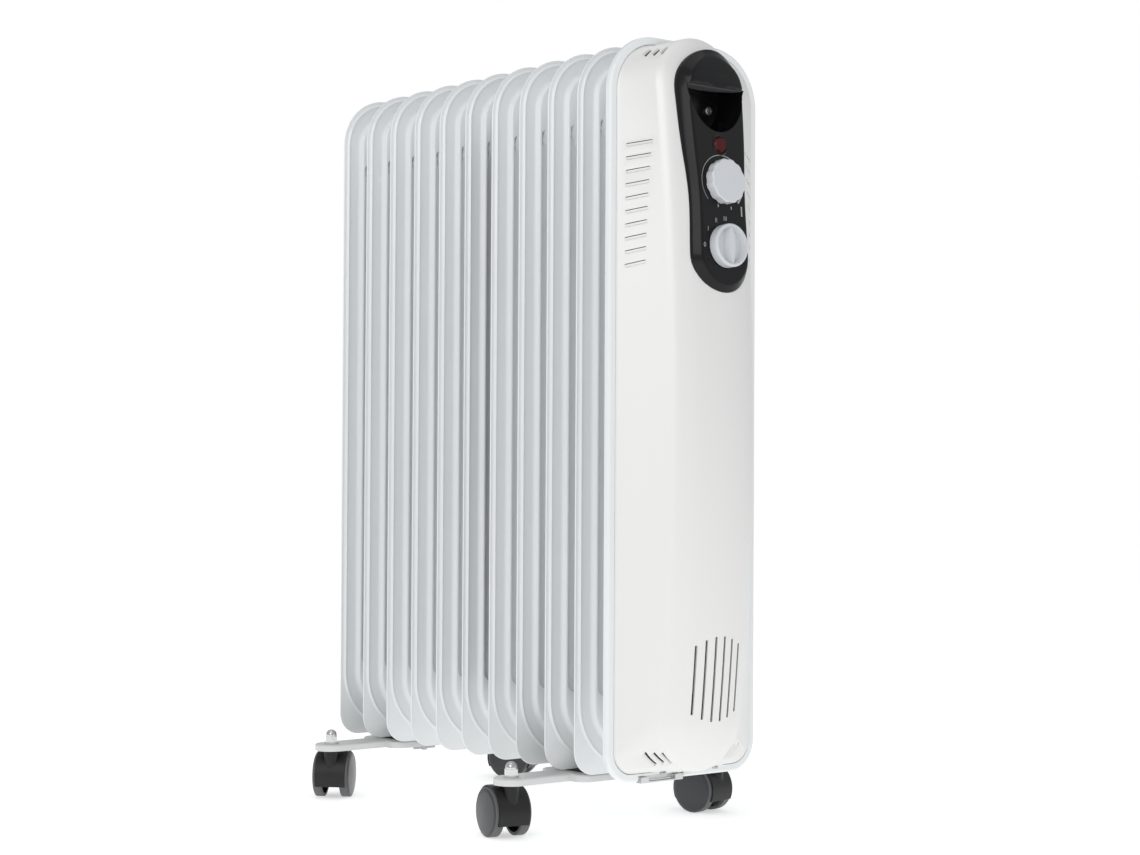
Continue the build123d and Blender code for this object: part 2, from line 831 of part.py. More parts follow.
for name, (bracket_y, bolt_y) in bracket_places.items():
    rim_plane = Plane((0, bracket_y, bracket_rim_low))
    with BuildPart() as bracket:
        extrude(bracket_outline(rim_plane, 0), amount=bracket_top - bracket_rim_low)
        fillet(bracket.faces().sort_by(Axis.Z)[-1].edges(), 1.6)
        under = bracket_top - bracket_sheet - bracket_rim_low
        extrude(bracket_outline(rim_plane, bracket_sheet), amount=under, mode=Mode.SUBTRACT)
        with BuildSketch(Plane((0, bracket_y, neck_low))):
            with Locations((-castor_across, 0), (castor_across, 0)):
                Circle(neck_radius)
        extrude(amount=bracket_top - bracket_sheet - neck_low)
        with BuildSketch(Plane((0, bracket_y, bracket_rim_low))):
            with Locations((-castor_across, 0), (castor_across, 0)):
                Circle(stem_radius)
            with Locations((-bolt_spread, bolt_y - bracket_y), (bolt_spread, bolt_y - bracket_y)):
                Circle(bolt_rod_radius)
        extrude(amount=bracket_top - bracket_rim_low, mode=Mode.SUBTRACT)
    save(bracket.part, f"{name}_bracket")

    with BuildPart() as pad:
        with BuildSketch(Plane((0, bracket_y, bracket_top))):
            RectangleRounded(2 * pad_half_length, 2 * pad_half_width, 6.0)
            with Locations((-bolt_spread, bolt_y - bracket_y), (bolt_spread, bolt_y - bracket_y)):
                Circle(bolt_rod_radius + 0.5, mode=Mode.SUBTRACT)
        extrude(amount=fin_low - bracket_top)
    save(pad.part, f"{name}_bracket_pad")

    with BuildPart() as u_bolt:
        with BuildLine(Plane.XZ.offset(-bolt_y)) as rod:
            leg = Line((-bolt_spread, bolt_low), (-bolt_spread, lower_header_height))
            arch = ThreePointArc(
                leg @ 1,
                (0, lower_header_height + bolt_spread),
                (bolt_spread, lower_header_height),
            )
            Line(arch @ 1, (bolt_spread, bolt_low))
        with BuildSketch(Plane(origin=rod.line @ 0, z_dir=rod.line % 0)):
            Circle(bolt_rod_radius)
        sweep(path=rod.line)
    save(u_bolt.part, f"{name}_u_bolt")

nut_hub_radius = 5.0
nut_hub_height = 4.0
wing_reach = 24.0
wing_thickness = 2.0
nut_top = bracket_top - bracket_sheet
with BuildPart() as wing_nuts:
    for bracket_y, bolt_y in bracket_places.values():
        for side in (-1, 1):
            with BuildSketch(Plane((side * bolt_spread, bolt_y, nut_top))):
                Circle(nut_hub_radius)
            extrude(amount=-nut_hub_height)
            with BuildSketch(Plane((side * bolt_spread, bolt_y, nut_top - 1))):
                SlotOverall(wing_reach, wing_thickness)
            extrude(amount=-(nut_top - 1 - bolt_low - 1))
            with BuildSketch(Plane((side * bolt_spread, bolt_y, nut_top))):
                Circle(bolt_rod_radius)
            extrude(amount=-(nut_top - bolt_low), mode=Mode.SUBTRACT)
save(wing_nuts.part, "wing_nuts")

# ---------------------------------------------------------------- castor fasteners
washer_radius = 6.4
washer_thickness = 1.2
nut_flats = 10.0
nut_hex_height = 5.2
nut_dome_radius = 4.8
nut_dome_height = 11.2
stem_places = [(across, along) for across, along, _ in castors.values()]
with BuildPart() as castor_washers:
    with BuildSketch(Plane.XY.offset(bracket_top)):
        with Locations(*stem_places):
            Circle(washer_radius)
            Circle(stem_radius, mode=Mode.SUBTRACT)
    extrude(amount=washer_thickness)
save(castor_washers.part, "castor_washers")

nut_low = bracket_top + washer_thickness
with BuildPart() as acorn_nuts:
    with BuildSketch(Plane.XY.offset(nut_low)):
        with Locations(*stem_places):
            RegularPolygon(nut_flats / 2, 6, major_radius=False)
    extrude(amount=nut_hex_height)
    with BuildSketch(Plane.XY.offset(nut_low)):
        with Locations(*stem_places):
            Circle(nut_dome_radius)
    extrude(amount=nut_dome_height)
    fillet(acorn_nuts.faces().sort_by(Axis.Z)[-len(stem_places):].edges(), nut_dome_radius - 0.3)
    with BuildSketch(Plane.XY.offset(nut_low)):
        with Locations(*stem_places):
            Circle(stem_radius)
    extrude(amount=stem_high - nut_low, mode=Mode.SUBTRACT)
save(acorn_nuts.part, "acorn_nuts")

with BuildPart() as castor_stems:
    with BuildSketch(Plane.XY.offset(stem_low)):
        with Locations(*stem_places):
            Circle(stem_radius)
    extrude(amount=stem_high - stem_low)
save(castor_stems.part, "castor_stems")

# ---------------------------------------------------------------- castors
# A castor is drawn about its stem, its hood facing +X.
hood_droop = 25.0           # degrees below level, front and back
hood_web = 5.0
boss_radius = 6.5
boss_top = 43.0
boss_foot = 25.0
axle_half_length = 15.5
axle_plane = Plane(origin=(-castor_trail, 0, wheel_radius), x_dir=(1, 0, 0), z_dir=(0, -1, 0))
droop_height = -hood_radius * sin(radians(hood_droop))
with BuildPart() as castor_hood:
    with BuildSketch(axle_plane):
        Circle(hood_radius)
        Circle(hood_inner_radius, mode=Mode.SUBTRACT)
        with Locations((0, droop_height)):
            Rectangle(3 * hood_radius, hood_radius, align=(Align.CENTER, Align.MAX), mode=Mode.SUBTRACT)
    extrude(amount=hood_half_width, both=True)
    with BuildSketch(axle_plane):
        Circle(hood_radius - 0.5)
        with Locations((0, -2)):
            Rectangle(3 * hood_radius, hood_radius, align=(Align.CENTER, Align.MAX), mode=Mode.SUBTRACT)
        Circle(2 * axle_radius)
    extrude(amount=hood_web, both=True)
    with BuildSketch(Plane.XY.offset(boss_foot)):
        Circle(boss_radius)
    extrude(amount=boss_top - boss_foot)
    with BuildSketch(Plane.XY.offset(boss_top)):
        Circle(stem_radius + running_clearance)
    extrude(amount=-(boss_top - stem_low + 0.5), mode=Mode.SUBTRACT)
    with BuildSketch(axle_plane):
        Circle(axle_radius)
    extrude(amount=hood_web, both=True, mode=Mode.SUBTRACT)

with BuildPart() as castor_axle:
    with BuildSketch(axle_plane):
        Circle(axle_radius)
    extrude(amount=axle_half_length, both=True)

tread_depth = 3.0
tread_inner = 8.0
tread_outer = 15.6
disc_back = 13.8
wheel_hub_radius = 5.5
wheel_bore = axle_radius + running_clearance
# the wheel's section: distance across from the castor's middle, height above the axle
with BuildPart() as castor_wheel:
    with BuildSketch(Plane(origin=(-castor_trail, 0, wheel_radius), x_dir=(0, 1, 0), z_dir=(1, 0, 0))):
        with BuildLine():
            section = Polyline(
                (axle_half_length + 0.3, 0),
                (axle_half_length + 0.3, wheel_bore),
                (wheel_inner, wheel_bore),
                (wheel_inner, wheel_hub_radius),
                (disc_back, wheel_hub_radius),
                (disc_back, wheel_radius - tread_depth),
                (tread_inner, wheel_radius - tread_depth),
                (tread_inner, wheel_radius),
                (tread_outer, wheel_radius),
                (tread_outer + 1, wheel_radius - 0.8),
            )
            dome = ThreePointArc(section @ 1, (wheel_outer - 0.35, 0.55 * wheel_radius), (wheel_outer, 2))
            Polyline(dome @ 1, (wheel_outer, 0), section @ 0)
        make_face()
    revolve(axis=Axis((-castor_trail, 0, wheel_radius), (0, 1, 0)))
other_wheel = castor_wheel.part.mirror(Plane.XZ)

for name, (across, along, facing) in castors.items():
    place = Location((across, along, 0), (0, 0, facing))
    save(castor_hood.part.moved(place), f"{name}_castor_hood")
    save(castor_axle.part.moved(place), f"{name}_castor_axle")
    save(castor_wheel.part.moved(place), f"{name}_wheel_left")
    save(other_wheel.moved(place), f"{name}_wheel_right")
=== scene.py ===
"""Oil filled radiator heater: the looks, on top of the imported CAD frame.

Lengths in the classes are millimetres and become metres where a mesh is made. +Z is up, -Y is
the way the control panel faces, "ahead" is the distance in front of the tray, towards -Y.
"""

import json
import logging
import math
from collections.abc import Callable, Iterable
from dataclasses import dataclass, field, replace
from enum import Enum

import bmesh
import bpy
from mathutils import Matrix, Vector


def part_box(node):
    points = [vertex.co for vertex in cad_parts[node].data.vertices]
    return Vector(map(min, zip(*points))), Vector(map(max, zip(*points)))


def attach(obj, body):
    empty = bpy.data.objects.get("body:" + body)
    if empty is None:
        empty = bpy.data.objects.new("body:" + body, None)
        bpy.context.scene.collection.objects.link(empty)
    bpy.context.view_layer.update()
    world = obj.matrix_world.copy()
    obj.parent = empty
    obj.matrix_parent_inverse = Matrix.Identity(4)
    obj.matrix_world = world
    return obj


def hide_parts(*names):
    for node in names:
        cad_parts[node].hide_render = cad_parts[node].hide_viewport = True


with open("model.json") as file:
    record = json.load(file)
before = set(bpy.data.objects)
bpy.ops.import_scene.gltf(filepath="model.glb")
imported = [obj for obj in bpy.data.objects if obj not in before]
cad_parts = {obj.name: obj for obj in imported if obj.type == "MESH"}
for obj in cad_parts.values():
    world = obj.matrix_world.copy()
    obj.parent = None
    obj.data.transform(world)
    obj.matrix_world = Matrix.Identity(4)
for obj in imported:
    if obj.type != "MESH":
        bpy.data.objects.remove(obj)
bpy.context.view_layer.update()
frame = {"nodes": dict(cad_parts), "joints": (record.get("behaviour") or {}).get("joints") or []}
log = logging.getLogger("radiator")

MM = 0.001
# the height of a full bump, in metres
BUMP_DISTANCE = 0.0004
# the thickness of the front tray's sheet, in millimetres
TRAY_SHEET = 1.2


class Body(Enum):
    """The rigid bodies, other than the wheels, that new pieces ride on."""

    RADIATOR = "radiator"


class Shading(Enum):
    """How a mesh is shaded: the angle in degrees past which an edge is sharp."""

    CREASED = 34.0


# ---------------------------------------------------------------- shared shader effects
def new_group(name: str, inputs: dict[str, float], outputs: Iterable[str]) -> bpy.types.NodeTree:
    """Starts a shader node group with number inputs and number outputs.

    Args:
        name: The group's name.
        inputs: Each input's name and default value.
        outputs: Each output's name.

    Returns:
        The node tree, with its group input and output nodes in place.
    """
    tree = bpy.data.node_groups.new(name, "ShaderNodeTree")
    for label, value in inputs.items():
        socket = tree.interface.new_socket(label, in_out="INPUT", socket_type="NodeSocketFloat")
        socket.default_value = value
    for label in outputs:
        tree.interface.new_socket(label, in_out="OUTPUT", socket_type="NodeSocketFloat")
    tree.nodes.new("NodeGroupInput").name = "in"
    tree.nodes.new("NodeGroupOutput").name = "out"
    return tree


def paint_texture_group() -> bpy.types.NodeTree:
    """Makes the group for the slow tone change and fine orange peel of a sprayed or moulded skin.

    Returns:
        A group with outputs Tone (0 to 1, broad) and Peel (height, fine).
    """
    tree = new_group("sprayed_skin", {"Broad": 9.0, "Fine": 900.0}, ("Tone", "Peel"))
    nodes, links = tree.nodes, tree.links
    place = nodes.new("ShaderNodeTexCoord")
    broad = nodes.new("ShaderNodeTexNoise")
    fine = nodes.new("ShaderNodeTexNoise")
    broad.inputs["Detail"].default_value = 3.0
    fine.inputs["Detail"].default_value = 2.0
    for noise, label in ((broad, "Broad"), (fine, "Fine")):
        links.new(place.outputs["Object"], noise.inputs["Vector"])
        links.new(nodes["in"].outputs[label], noise.inputs["Scale"])
    links.new(broad.outputs["Fac"], nodes["out"].inputs["Tone"])
    links.new(fine.outputs["Fac"], nodes["out"].inputs["Peel"])
    return tree


def dust_group() -> bpy.types.NodeTree:
    """Makes the group for the dust that settles on faces that look up.

    Returns:
        A group with one output, Dust, from 0 (clean) to 1.
    """
    tree = new_group("settled_dust", {"Amount": 0.2, "Scale": 60.0}, ("Dust",))
    nodes, links = tree.nodes, tree.links
    geometry = nodes.new("ShaderNodeNewGeometry")
    split = nodes.new("ShaderNodeSeparateXYZ")
    place = nodes.new("ShaderNodeTexCoord")
    noise = nodes.new("ShaderNodeTexNoise")
    up = nodes.new("ShaderNodeMath")
    up.operation = "MULTIPLY"
    up.use_clamp = True
    amount = nodes.new("ShaderNodeMath")
    amount.operation = "MULTIPLY"
    links.new(geometry.outputs["Normal"], split.inputs["Vector"])
    links.new(place.outputs["Object"], noise.inputs["Vector"])
    links.new(nodes["in"].outputs["Scale"], noise.inputs["Scale"])
    links.new(split.outputs["Z"], up.inputs[0])
    links.new(noise.outputs["Fac"], up.inputs[1])
    links.new(up.outputs[0], amount.inputs[0])
    links.new(nodes["in"].outputs["Amount"], amount.inputs[1])
    links.new(amount.outputs[0], nodes["out"].inputs["Dust"])
    return tree


def brushed_group() -> bpy.types.NodeTree:
    """Makes the group for fine turning or brushing marks on bare metal.

    Returns:
        A group with outputs Streak (0 to 1) and Scratch (height).
    """
    tree = new_group("brushed_metal", {"Scale": 500.0, "Stretch": 12.0}, ("Streak", "Scratch"))
    nodes, links = tree.nodes, tree.links
    place = nodes.new("ShaderNodeTexCoord")
    split = nodes.new("ShaderNodeSeparateXYZ")
    join = nodes.new("ShaderNodeCombineXYZ")
    flat = nodes.new("ShaderNodeMath")
    flat.operation = "MULTIPLY"
    noise = nodes.new("ShaderNodeTexNoise")
    links.new(place.outputs["Object"], split.inputs["Vector"])
    links.new(split.outputs["Z"], flat.inputs[0])
    links.new(nodes["in"].outputs["Stretch"], flat.inputs[1])
    links.new(split.outputs["X"], join.inputs["X"])
    links.new(split.outputs["Y"], join.inputs["Y"])
    links.new(flat.outputs[0], join.inputs["Z"])
    links.new(join.outputs["Vector"], noise.inputs["Vector"])
    links.new(nodes["in"].outputs["Scale"], noise.inputs["Scale"])
    links.new(noise.outputs["Fac"], nodes["out"].inputs["Streak"])
    links.new(noise.outputs["Fac"], nodes["out"].inputs["Scratch"])
    return tree


@dataclass(frozen=True)
class Effects:
    """The shared shader groups, made once."""

    skin: bpy.types.NodeTree
    dust: bpy.types.NodeTree
    brushed: bpy.types.NodeTree


EFFECTS = Effects(paint_texture_group(), dust_group(), brushed_group())


@dataclass(frozen=True)
class Finish:
    """A finish of sprayed, moulded or bare material."""

    name: str
    colour: tuple[float, float, float]
    shade: tuple[float, float, float]
    rough: tuple[float, float] = (0.25, 0.33)
    metal: float = 0.0
    coat: float = 0.0
    coat_rough: float = 0.06
    specular: float = 0.5
    peel: float = 0.02
    broad: float = 9.0
    fine: float = 900.0
    dust: float = 0.0
    dust_colour: tuple[float, float, float] = (0.55, 0.53, 0.50)
    brushed: bool = False

    def material(self) -> bpy.types.Material:
        """Makes the node material, or gives back the material that already has its name.

        The frame brings in plain materials named cover_enamel and clip_steel, so the finishes
        of those two names give the plain ones back.

        Returns:
            The material.
        """
        made = bpy.data.materials.get(self.name)
        if made is not None:
            return made
        made = bpy.data.materials.new(self.name)
        made.use_nodes = True
        nodes, links = made.node_tree.nodes, made.node_tree.links
        shader = nodes["Principled BSDF"]
        shader.inputs["Metallic"].default_value = self.metal
        shader.inputs["Coat Weight"].default_value = self.coat
        shader.inputs["Coat Roughness"].default_value = self.coat_rough
        shader.inputs["Specular IOR Level"].default_value = self.specular
        effect = nodes.new("ShaderNodeGroup")
        effect.node_tree = EFFECTS.brushed if self.brushed else EFFECTS.skin
        if self.brushed:
            effect.inputs["Scale"].default_value = self.fine
        else:
            effect.inputs["Broad"].default_value = self.broad
            effect.inputs["Fine"].default_value = self.fine
        tone, height = effect.outputs[0], effect.outputs[1]
        blend = nodes.new("ShaderNodeMix")
        blend.data_type = "RGBA"
        blend.inputs["A"].default_value = (*self.shade, 1)
        blend.inputs["B"].default_value = (*self.colour, 1)
        links.new(tone, blend.inputs["Factor"])
        colour = blend.outputs["Result"]
        if self.dust:
            settled = nodes.new("ShaderNodeGroup")
            settled.node_tree = EFFECTS.dust
            settled.inputs["Amount"].default_value = self.dust
            dusty = nodes.new("ShaderNodeMix")
            dusty.data_type = "RGBA"
            dusty.inputs["B"].default_value = (*self.dust_colour, 1)
            links.new(settled.outputs["Dust"], dusty.inputs["Factor"])
            links.new(colour, dusty.inputs["A"])
            colour = dusty.outputs["Result"]
        links.new(colour, shader.inputs["Base Color"])
        spread = nodes.new("ShaderNodeMapRange")
        spread.inputs["To Min"].default_value = self.rough[0]
        spread.inputs["To Max"].default_value = self.rough[1]
        links.new(tone, spread.inputs["Value"])
        links.new(spread.outputs["Result"], shader.inputs["Roughness"])
        bump = nodes.new("ShaderNodeBump")
        bump.inputs["Strength"].default_value = self.peel
        bump.inputs["Distance"].default_value = BUMP_DISTANCE
        links.new(height, bump.inputs["Height"])
        links.new(bump.outputs["Normal"], shader.inputs["Normal"])
        return made


FIN_ENAMEL = Finish(
    "fin_enamel", (0.87, 0.89, 0.895), (0.84, 0.86, 0.865), rough=(0.20, 0.30), coat=0.35, peel=0.04
)
COVER_ENAMEL = Finish(
    "cover_enamel", (0.66, 0.675, 0.675), (0.635, 0.65, 0.65), rough=(0.22, 0.30), coat=0.45, peel=0.03
)
BRACKET_ENAMEL = Finish(
    "bracket_enamel", (0.74, 0.745, 0.74), (0.70, 0.70, 0.69), rough=(0.22, 0.34), coat=0.35, dust=0.12
)
PANEL_BLACK = Finish(
    "panel_black", (0.007, 0.007, 0.008), (0.005, 0.005, 0.006), rough=(0.12, 0.20), specular=0.28, peel=0.01
)
KNOB_SILVER = Finish(
    "knob_silver", (0.66, 0.675, 0.70), (0.62, 0.635, 0.66), rough=(0.28, 0.36), coat=0.25, peel=0.03
)
MARK_GREY = Finish("mark_grey", (0.42, 0.43, 0.44), (0.36, 0.37, 0.38), rough=(0.4, 0.5))
LENS_RED = Finish(
    "lens_red", (0.085, 0.004, 0.005), (0.055, 0.003, 0.003), rough=(0.12, 0.20), specular=0.25
)
# painted light: the grip's ceiling is the panel's black, made grey for the bright floor's light on it
CEILING_PAINTED_LIGHT = Finish(
    "ceiling_painted_light", (0.15, 0.15, 0.155), (0.11, 0.11, 0.115), rough=(0.30, 0.40), specular=0.4
)
CASTOR_BLACK = Finish(
    "castor_black", (0.012, 0.012, 0.013), (0.008, 0.008, 0.009), rough=(0.34, 0.46), specular=0.4,
    peel=0.25, fine=1800.0, dust=0.04
)
DISC_BLACK = Finish(
    "disc_black", (0.045, 0.045, 0.049), (0.032, 0.032, 0.036), rough=(0.24, 0.36), peel=0.15,
    fine=1500.0, dust=0.04
)
TREAD_GREY = Finish(
    "tread_grey", (0.16, 0.16, 0.165), (0.10, 0.10, 0.105), rough=(0.5, 0.7), peel=0.5, fine=1200.0
)
PAD_BLACK = Finish("pad_black", (0.02, 0.02, 0.02), (0.012, 0.012, 0.012), rough=(0.6, 0.8), peel=0.5)
BRIGHT_PLATE = Finish(
    "bright_plate", (0.72, 0.72, 0.71), (0.60, 0.60, 0.60), rough=(0.10, 0.22), metal=1.0,
    brushed=True, peel=0.03
)
ZINC_PLATE = Finish(
    "zinc_plate", (0.56, 0.57, 0.58), (0.42, 0.43, 0.44), rough=(0.25, 0.42), metal=1.0,
    brushed=True, peel=0.06
)
CLIP_STEEL = Finish(
    "clip_steel", (0.66, 0.66, 0.66), (0.50, 0.50, 0.50), rough=(0.16, 0.30), metal=1.0,
    brushed=True, peel=0.05
)
INNER_CREAM = Finish("inner_cream", (0.60, 0.57, 0.50), (0.52, 0.50, 0.43), rough=(0.45, 0.6))
SLEEVE_WEAVE = Finish(
    "sleeve_weave", (0.55, 0.52, 0.45), (0.36, 0.34, 0.30), rough=(0.7, 0.9), peel=0.9, fine=2600.0
)


# ---------------------------------------------------------------- making pieces
def finish_piece(
    mesh: bmesh.types.BMesh,
    name: str,
    finish: Finish,
    body: str,
    stands_for: Iterable[str] = (),
    shading: Shading = Shading.CREASED,
) -> bpy.types.Object:
    """Turns a bmesh in millimetres into a finished piece of the object.

    Args:
        mesh: The shape, freed here.
        name: The piece's name.
        finish: Its finish.
        body: The CAD body that it rides on.
        stands_for: The CAD nodes that it replaces.
        shading: How its edges are shaded.

    Returns:
        The new object.
    """
    bmesh.ops.scale(mesh, vec=(MM, MM, MM), verts=mesh.verts)
    data = bpy.data.meshes.new(name)
    mesh.to_mesh(data)
    mesh.free()
    data.shade_smooth()
    data.set_sharp_from_angle(angle=math.radians(shading.value))
    data.materials.append(finish.material())
    piece = bpy.data.objects.new(name, data)
    bpy.context.scene.collection.objects.link(piece)
    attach(piece, body)
    if stands_for:
        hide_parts(*stands_for)
    log.info("%s rides on %s, %d faces", name, body, len(data.polygons))
    return piece


def dress(finish: Finish, *names: str) -> None:
    """Gives CAD nodes a finish.

    Args:
        finish: The finish.
        names: The nodes.
    """
    for name in names:
        node = frame["nodes"][name]
        node.data.materials.clear()
        node.data.materials.append(finish.material())
        log.info("%s is dressed in %s", name, finish.name)


def cut(mesh: bmesh.types.BMesh, tool: bmesh.types.BMesh) -> bmesh.types.BMesh:
    """Cuts one closed shape out of another.

    Args:
        mesh: The shape to cut, freed here.
        tool: The shape of the hole, freed here.

    Returns:
        The cut shape.
    """
    holders = []
    for name, source in (("work", mesh), ("tool", tool)):
        data = bpy.data.meshes.new(name)
        source.to_mesh(data)
        source.free()
        holder = bpy.data.objects.new(name, data)
        bpy.context.scene.collection.objects.link(holder)
        holders.append(holder)
    work, tool_holder = holders
    modifier = work.modifiers.new("cut", "BOOLEAN")
    modifier.object = tool_holder
    modifier.operation = "DIFFERENCE"
    modifier.solver = "EXACT"
    modifier.use_self = True
    bpy.context.view_layer.update()
    done = bmesh.new()
    done.from_object(work, bpy.context.evaluated_depsgraph_get())
    for holder in holders:
        data = holder.data
        bpy.data.objects.remove(holder)
        bpy.data.meshes.remove(data)
    return done


def face_out(mesh: bmesh.types.BMesh) -> None:
    """Merges doubles and turns every face outwards."""
    bmesh.ops.remove_doubles(mesh, verts=mesh.verts, dist=0.0005)
    bmesh.ops.recalc_face_normals(mesh, faces=mesh.faces)


@dataclass(frozen=True)
class Outline:
    """An upright outline, round at its four corners."""

    half: float
    low: float
    high: float
    low_radius: float
    high_radius: float
    low_half: float | None = None

    def drawn_in(self, inset: float) -> "Outline":
        """Gives the outline that lies this far inside."""
        return Outline(
            self.half - inset,
            self.low + inset,
            self.high - inset,
            max(self.low_radius - inset, 0.2),
            max(self.high_radius - inset, 0.2),
            None if self.low_half is None else self.low_half - inset,
        )


Surface = Callable[[float, float], float]


@dataclass
class Skin:
    """A skin of upright rings, each bridged to the last, set out ahead of a base plane."""

    base_y: float
    corner_steps: int = 10
    side_cuts: int = 1
    end_cuts: int = 1
    mesh: bmesh.types.BMesh = field(default_factory=bmesh.new)
    last: list = field(default_factory=list)

    def ring(self, outline: Outline, ahead: Surface, bend: Callable | None = None) -> None:
        """Adds one ring and bridges it to the one before.

        Args:
            outline: The ring's outline.
            ahead: Its distance ahead of the base plane at each across and height.
            bend: Moves a point's (across, height) before it is placed ahead.
        """
        low_half = outline.half if outline.low_half is None else outline.low_half
        draft = bmesh.new()
        spots = (
            (-low_half, outline.low),
            (low_half, outline.low),
            (outline.half, outline.high),
            (-outline.half, outline.high),
        )
        corners = [draft.verts.new((across, 0, height)) for across, height in spots]
        draft.faces.new(corners)
        pairs = ((corners[:2], outline.low_radius), (corners[2:], outline.high_radius))
        for pair, radius in pairs:
            bmesh.ops.bevel(
                draft,
                geom=pair,
                offset=radius,
                offset_type="OFFSET",
                segments=self.corner_steps,
                profile=0.5,
                affect="VERTICES",
                clamp_overlap=False,
                material=-1,
            )
        bmesh.ops.delete(draft, geom=list(draft.faces), context="FACES_ONLY")
        sides = [e for e in draft.edges if e.verts[0].co.x * e.verts[1].co.x > 0]
        sides.sort(key=lambda e: -abs(e.verts[0].co.z - e.verts[1].co.z))
        ends = [e for e in draft.edges if e.verts[0].co.x * e.verts[1].co.x < 0]
        bmesh.ops.subdivide_edges(draft, edges=sides[:2], cuts=self.side_cuts)
        bmesh.ops.subdivide_edges(draft, edges=ends, cuts=self.end_cuts)
        for vert in draft.verts:
            across, height = vert.co.x, vert.co.z
            if bend:
                across, height = bend(across, height)
            vert.co = (across, self.base_y - ahead(across, height), height)
        holder = bpy.data.meshes.new("ring")
        draft.to_mesh(holder)
        draft.free()
        before = len(self.mesh.edges)
        self.mesh.from_mesh(holder)
        bpy.data.meshes.remove(holder)
        self.mesh.edges.ensure_lookup_table()
        new = self.mesh.edges[before:]
        if self.last:
            bmesh.ops.bridge_loops(self.mesh, edges=self.last + new)
        self.last = list(new)

    def close(self) -> None:
        """Fills the last ring with one face."""
        bmesh.ops.contextual_create(self.mesh, geom=self.last)


def turned(
    profile: Iterable[tuple[float, float]], centre: Vector, along: Vector, steps: int = 40
) -> bmesh.types.BMesh:
    """Spins a profile round an axis.

    Args:
        profile: Points (distance along the axis, radius).
        centre: A point on the axis.
        along: The axis.
        steps: How many steps the turn takes.

    Returns:
        The turned shape, closed where the profile reaches the axis.
    """
    mesh = bmesh.new()
    side = along.orthogonal().normalized()
    points = [mesh.verts.new(centre + along * far + side * radius) for far, radius in profile]
    edges = [mesh.edges.new(pair) for pair in zip(points, points[1:])]
    bmesh.ops.spin(
        mesh, geom=points + edges, cent=centre, axis=along, angle=math.tau, steps=steps, use_merge=True
    )
    face_out(mesh)
    return mesh


def merged(shapes: Iterable[bmesh.types.BMesh]) -> bmesh.types.BMesh:
    """Puts several shapes into one bmesh and frees them."""
    whole = bmesh.new()
    for shape in shapes:
        holder = bpy.data.meshes.new("part")
        shape.to_mesh(holder)
        shape.free()
        whole.from_mesh(holder)
        bpy.data.meshes.remove(holder)
    return whole


def smoothstep(value: float) -> float:
    """Gives an even ramp from 0 to 1."""
    value = min(max(value, 0.0), 1.0)
    return value * value * (3 - 2 * value)


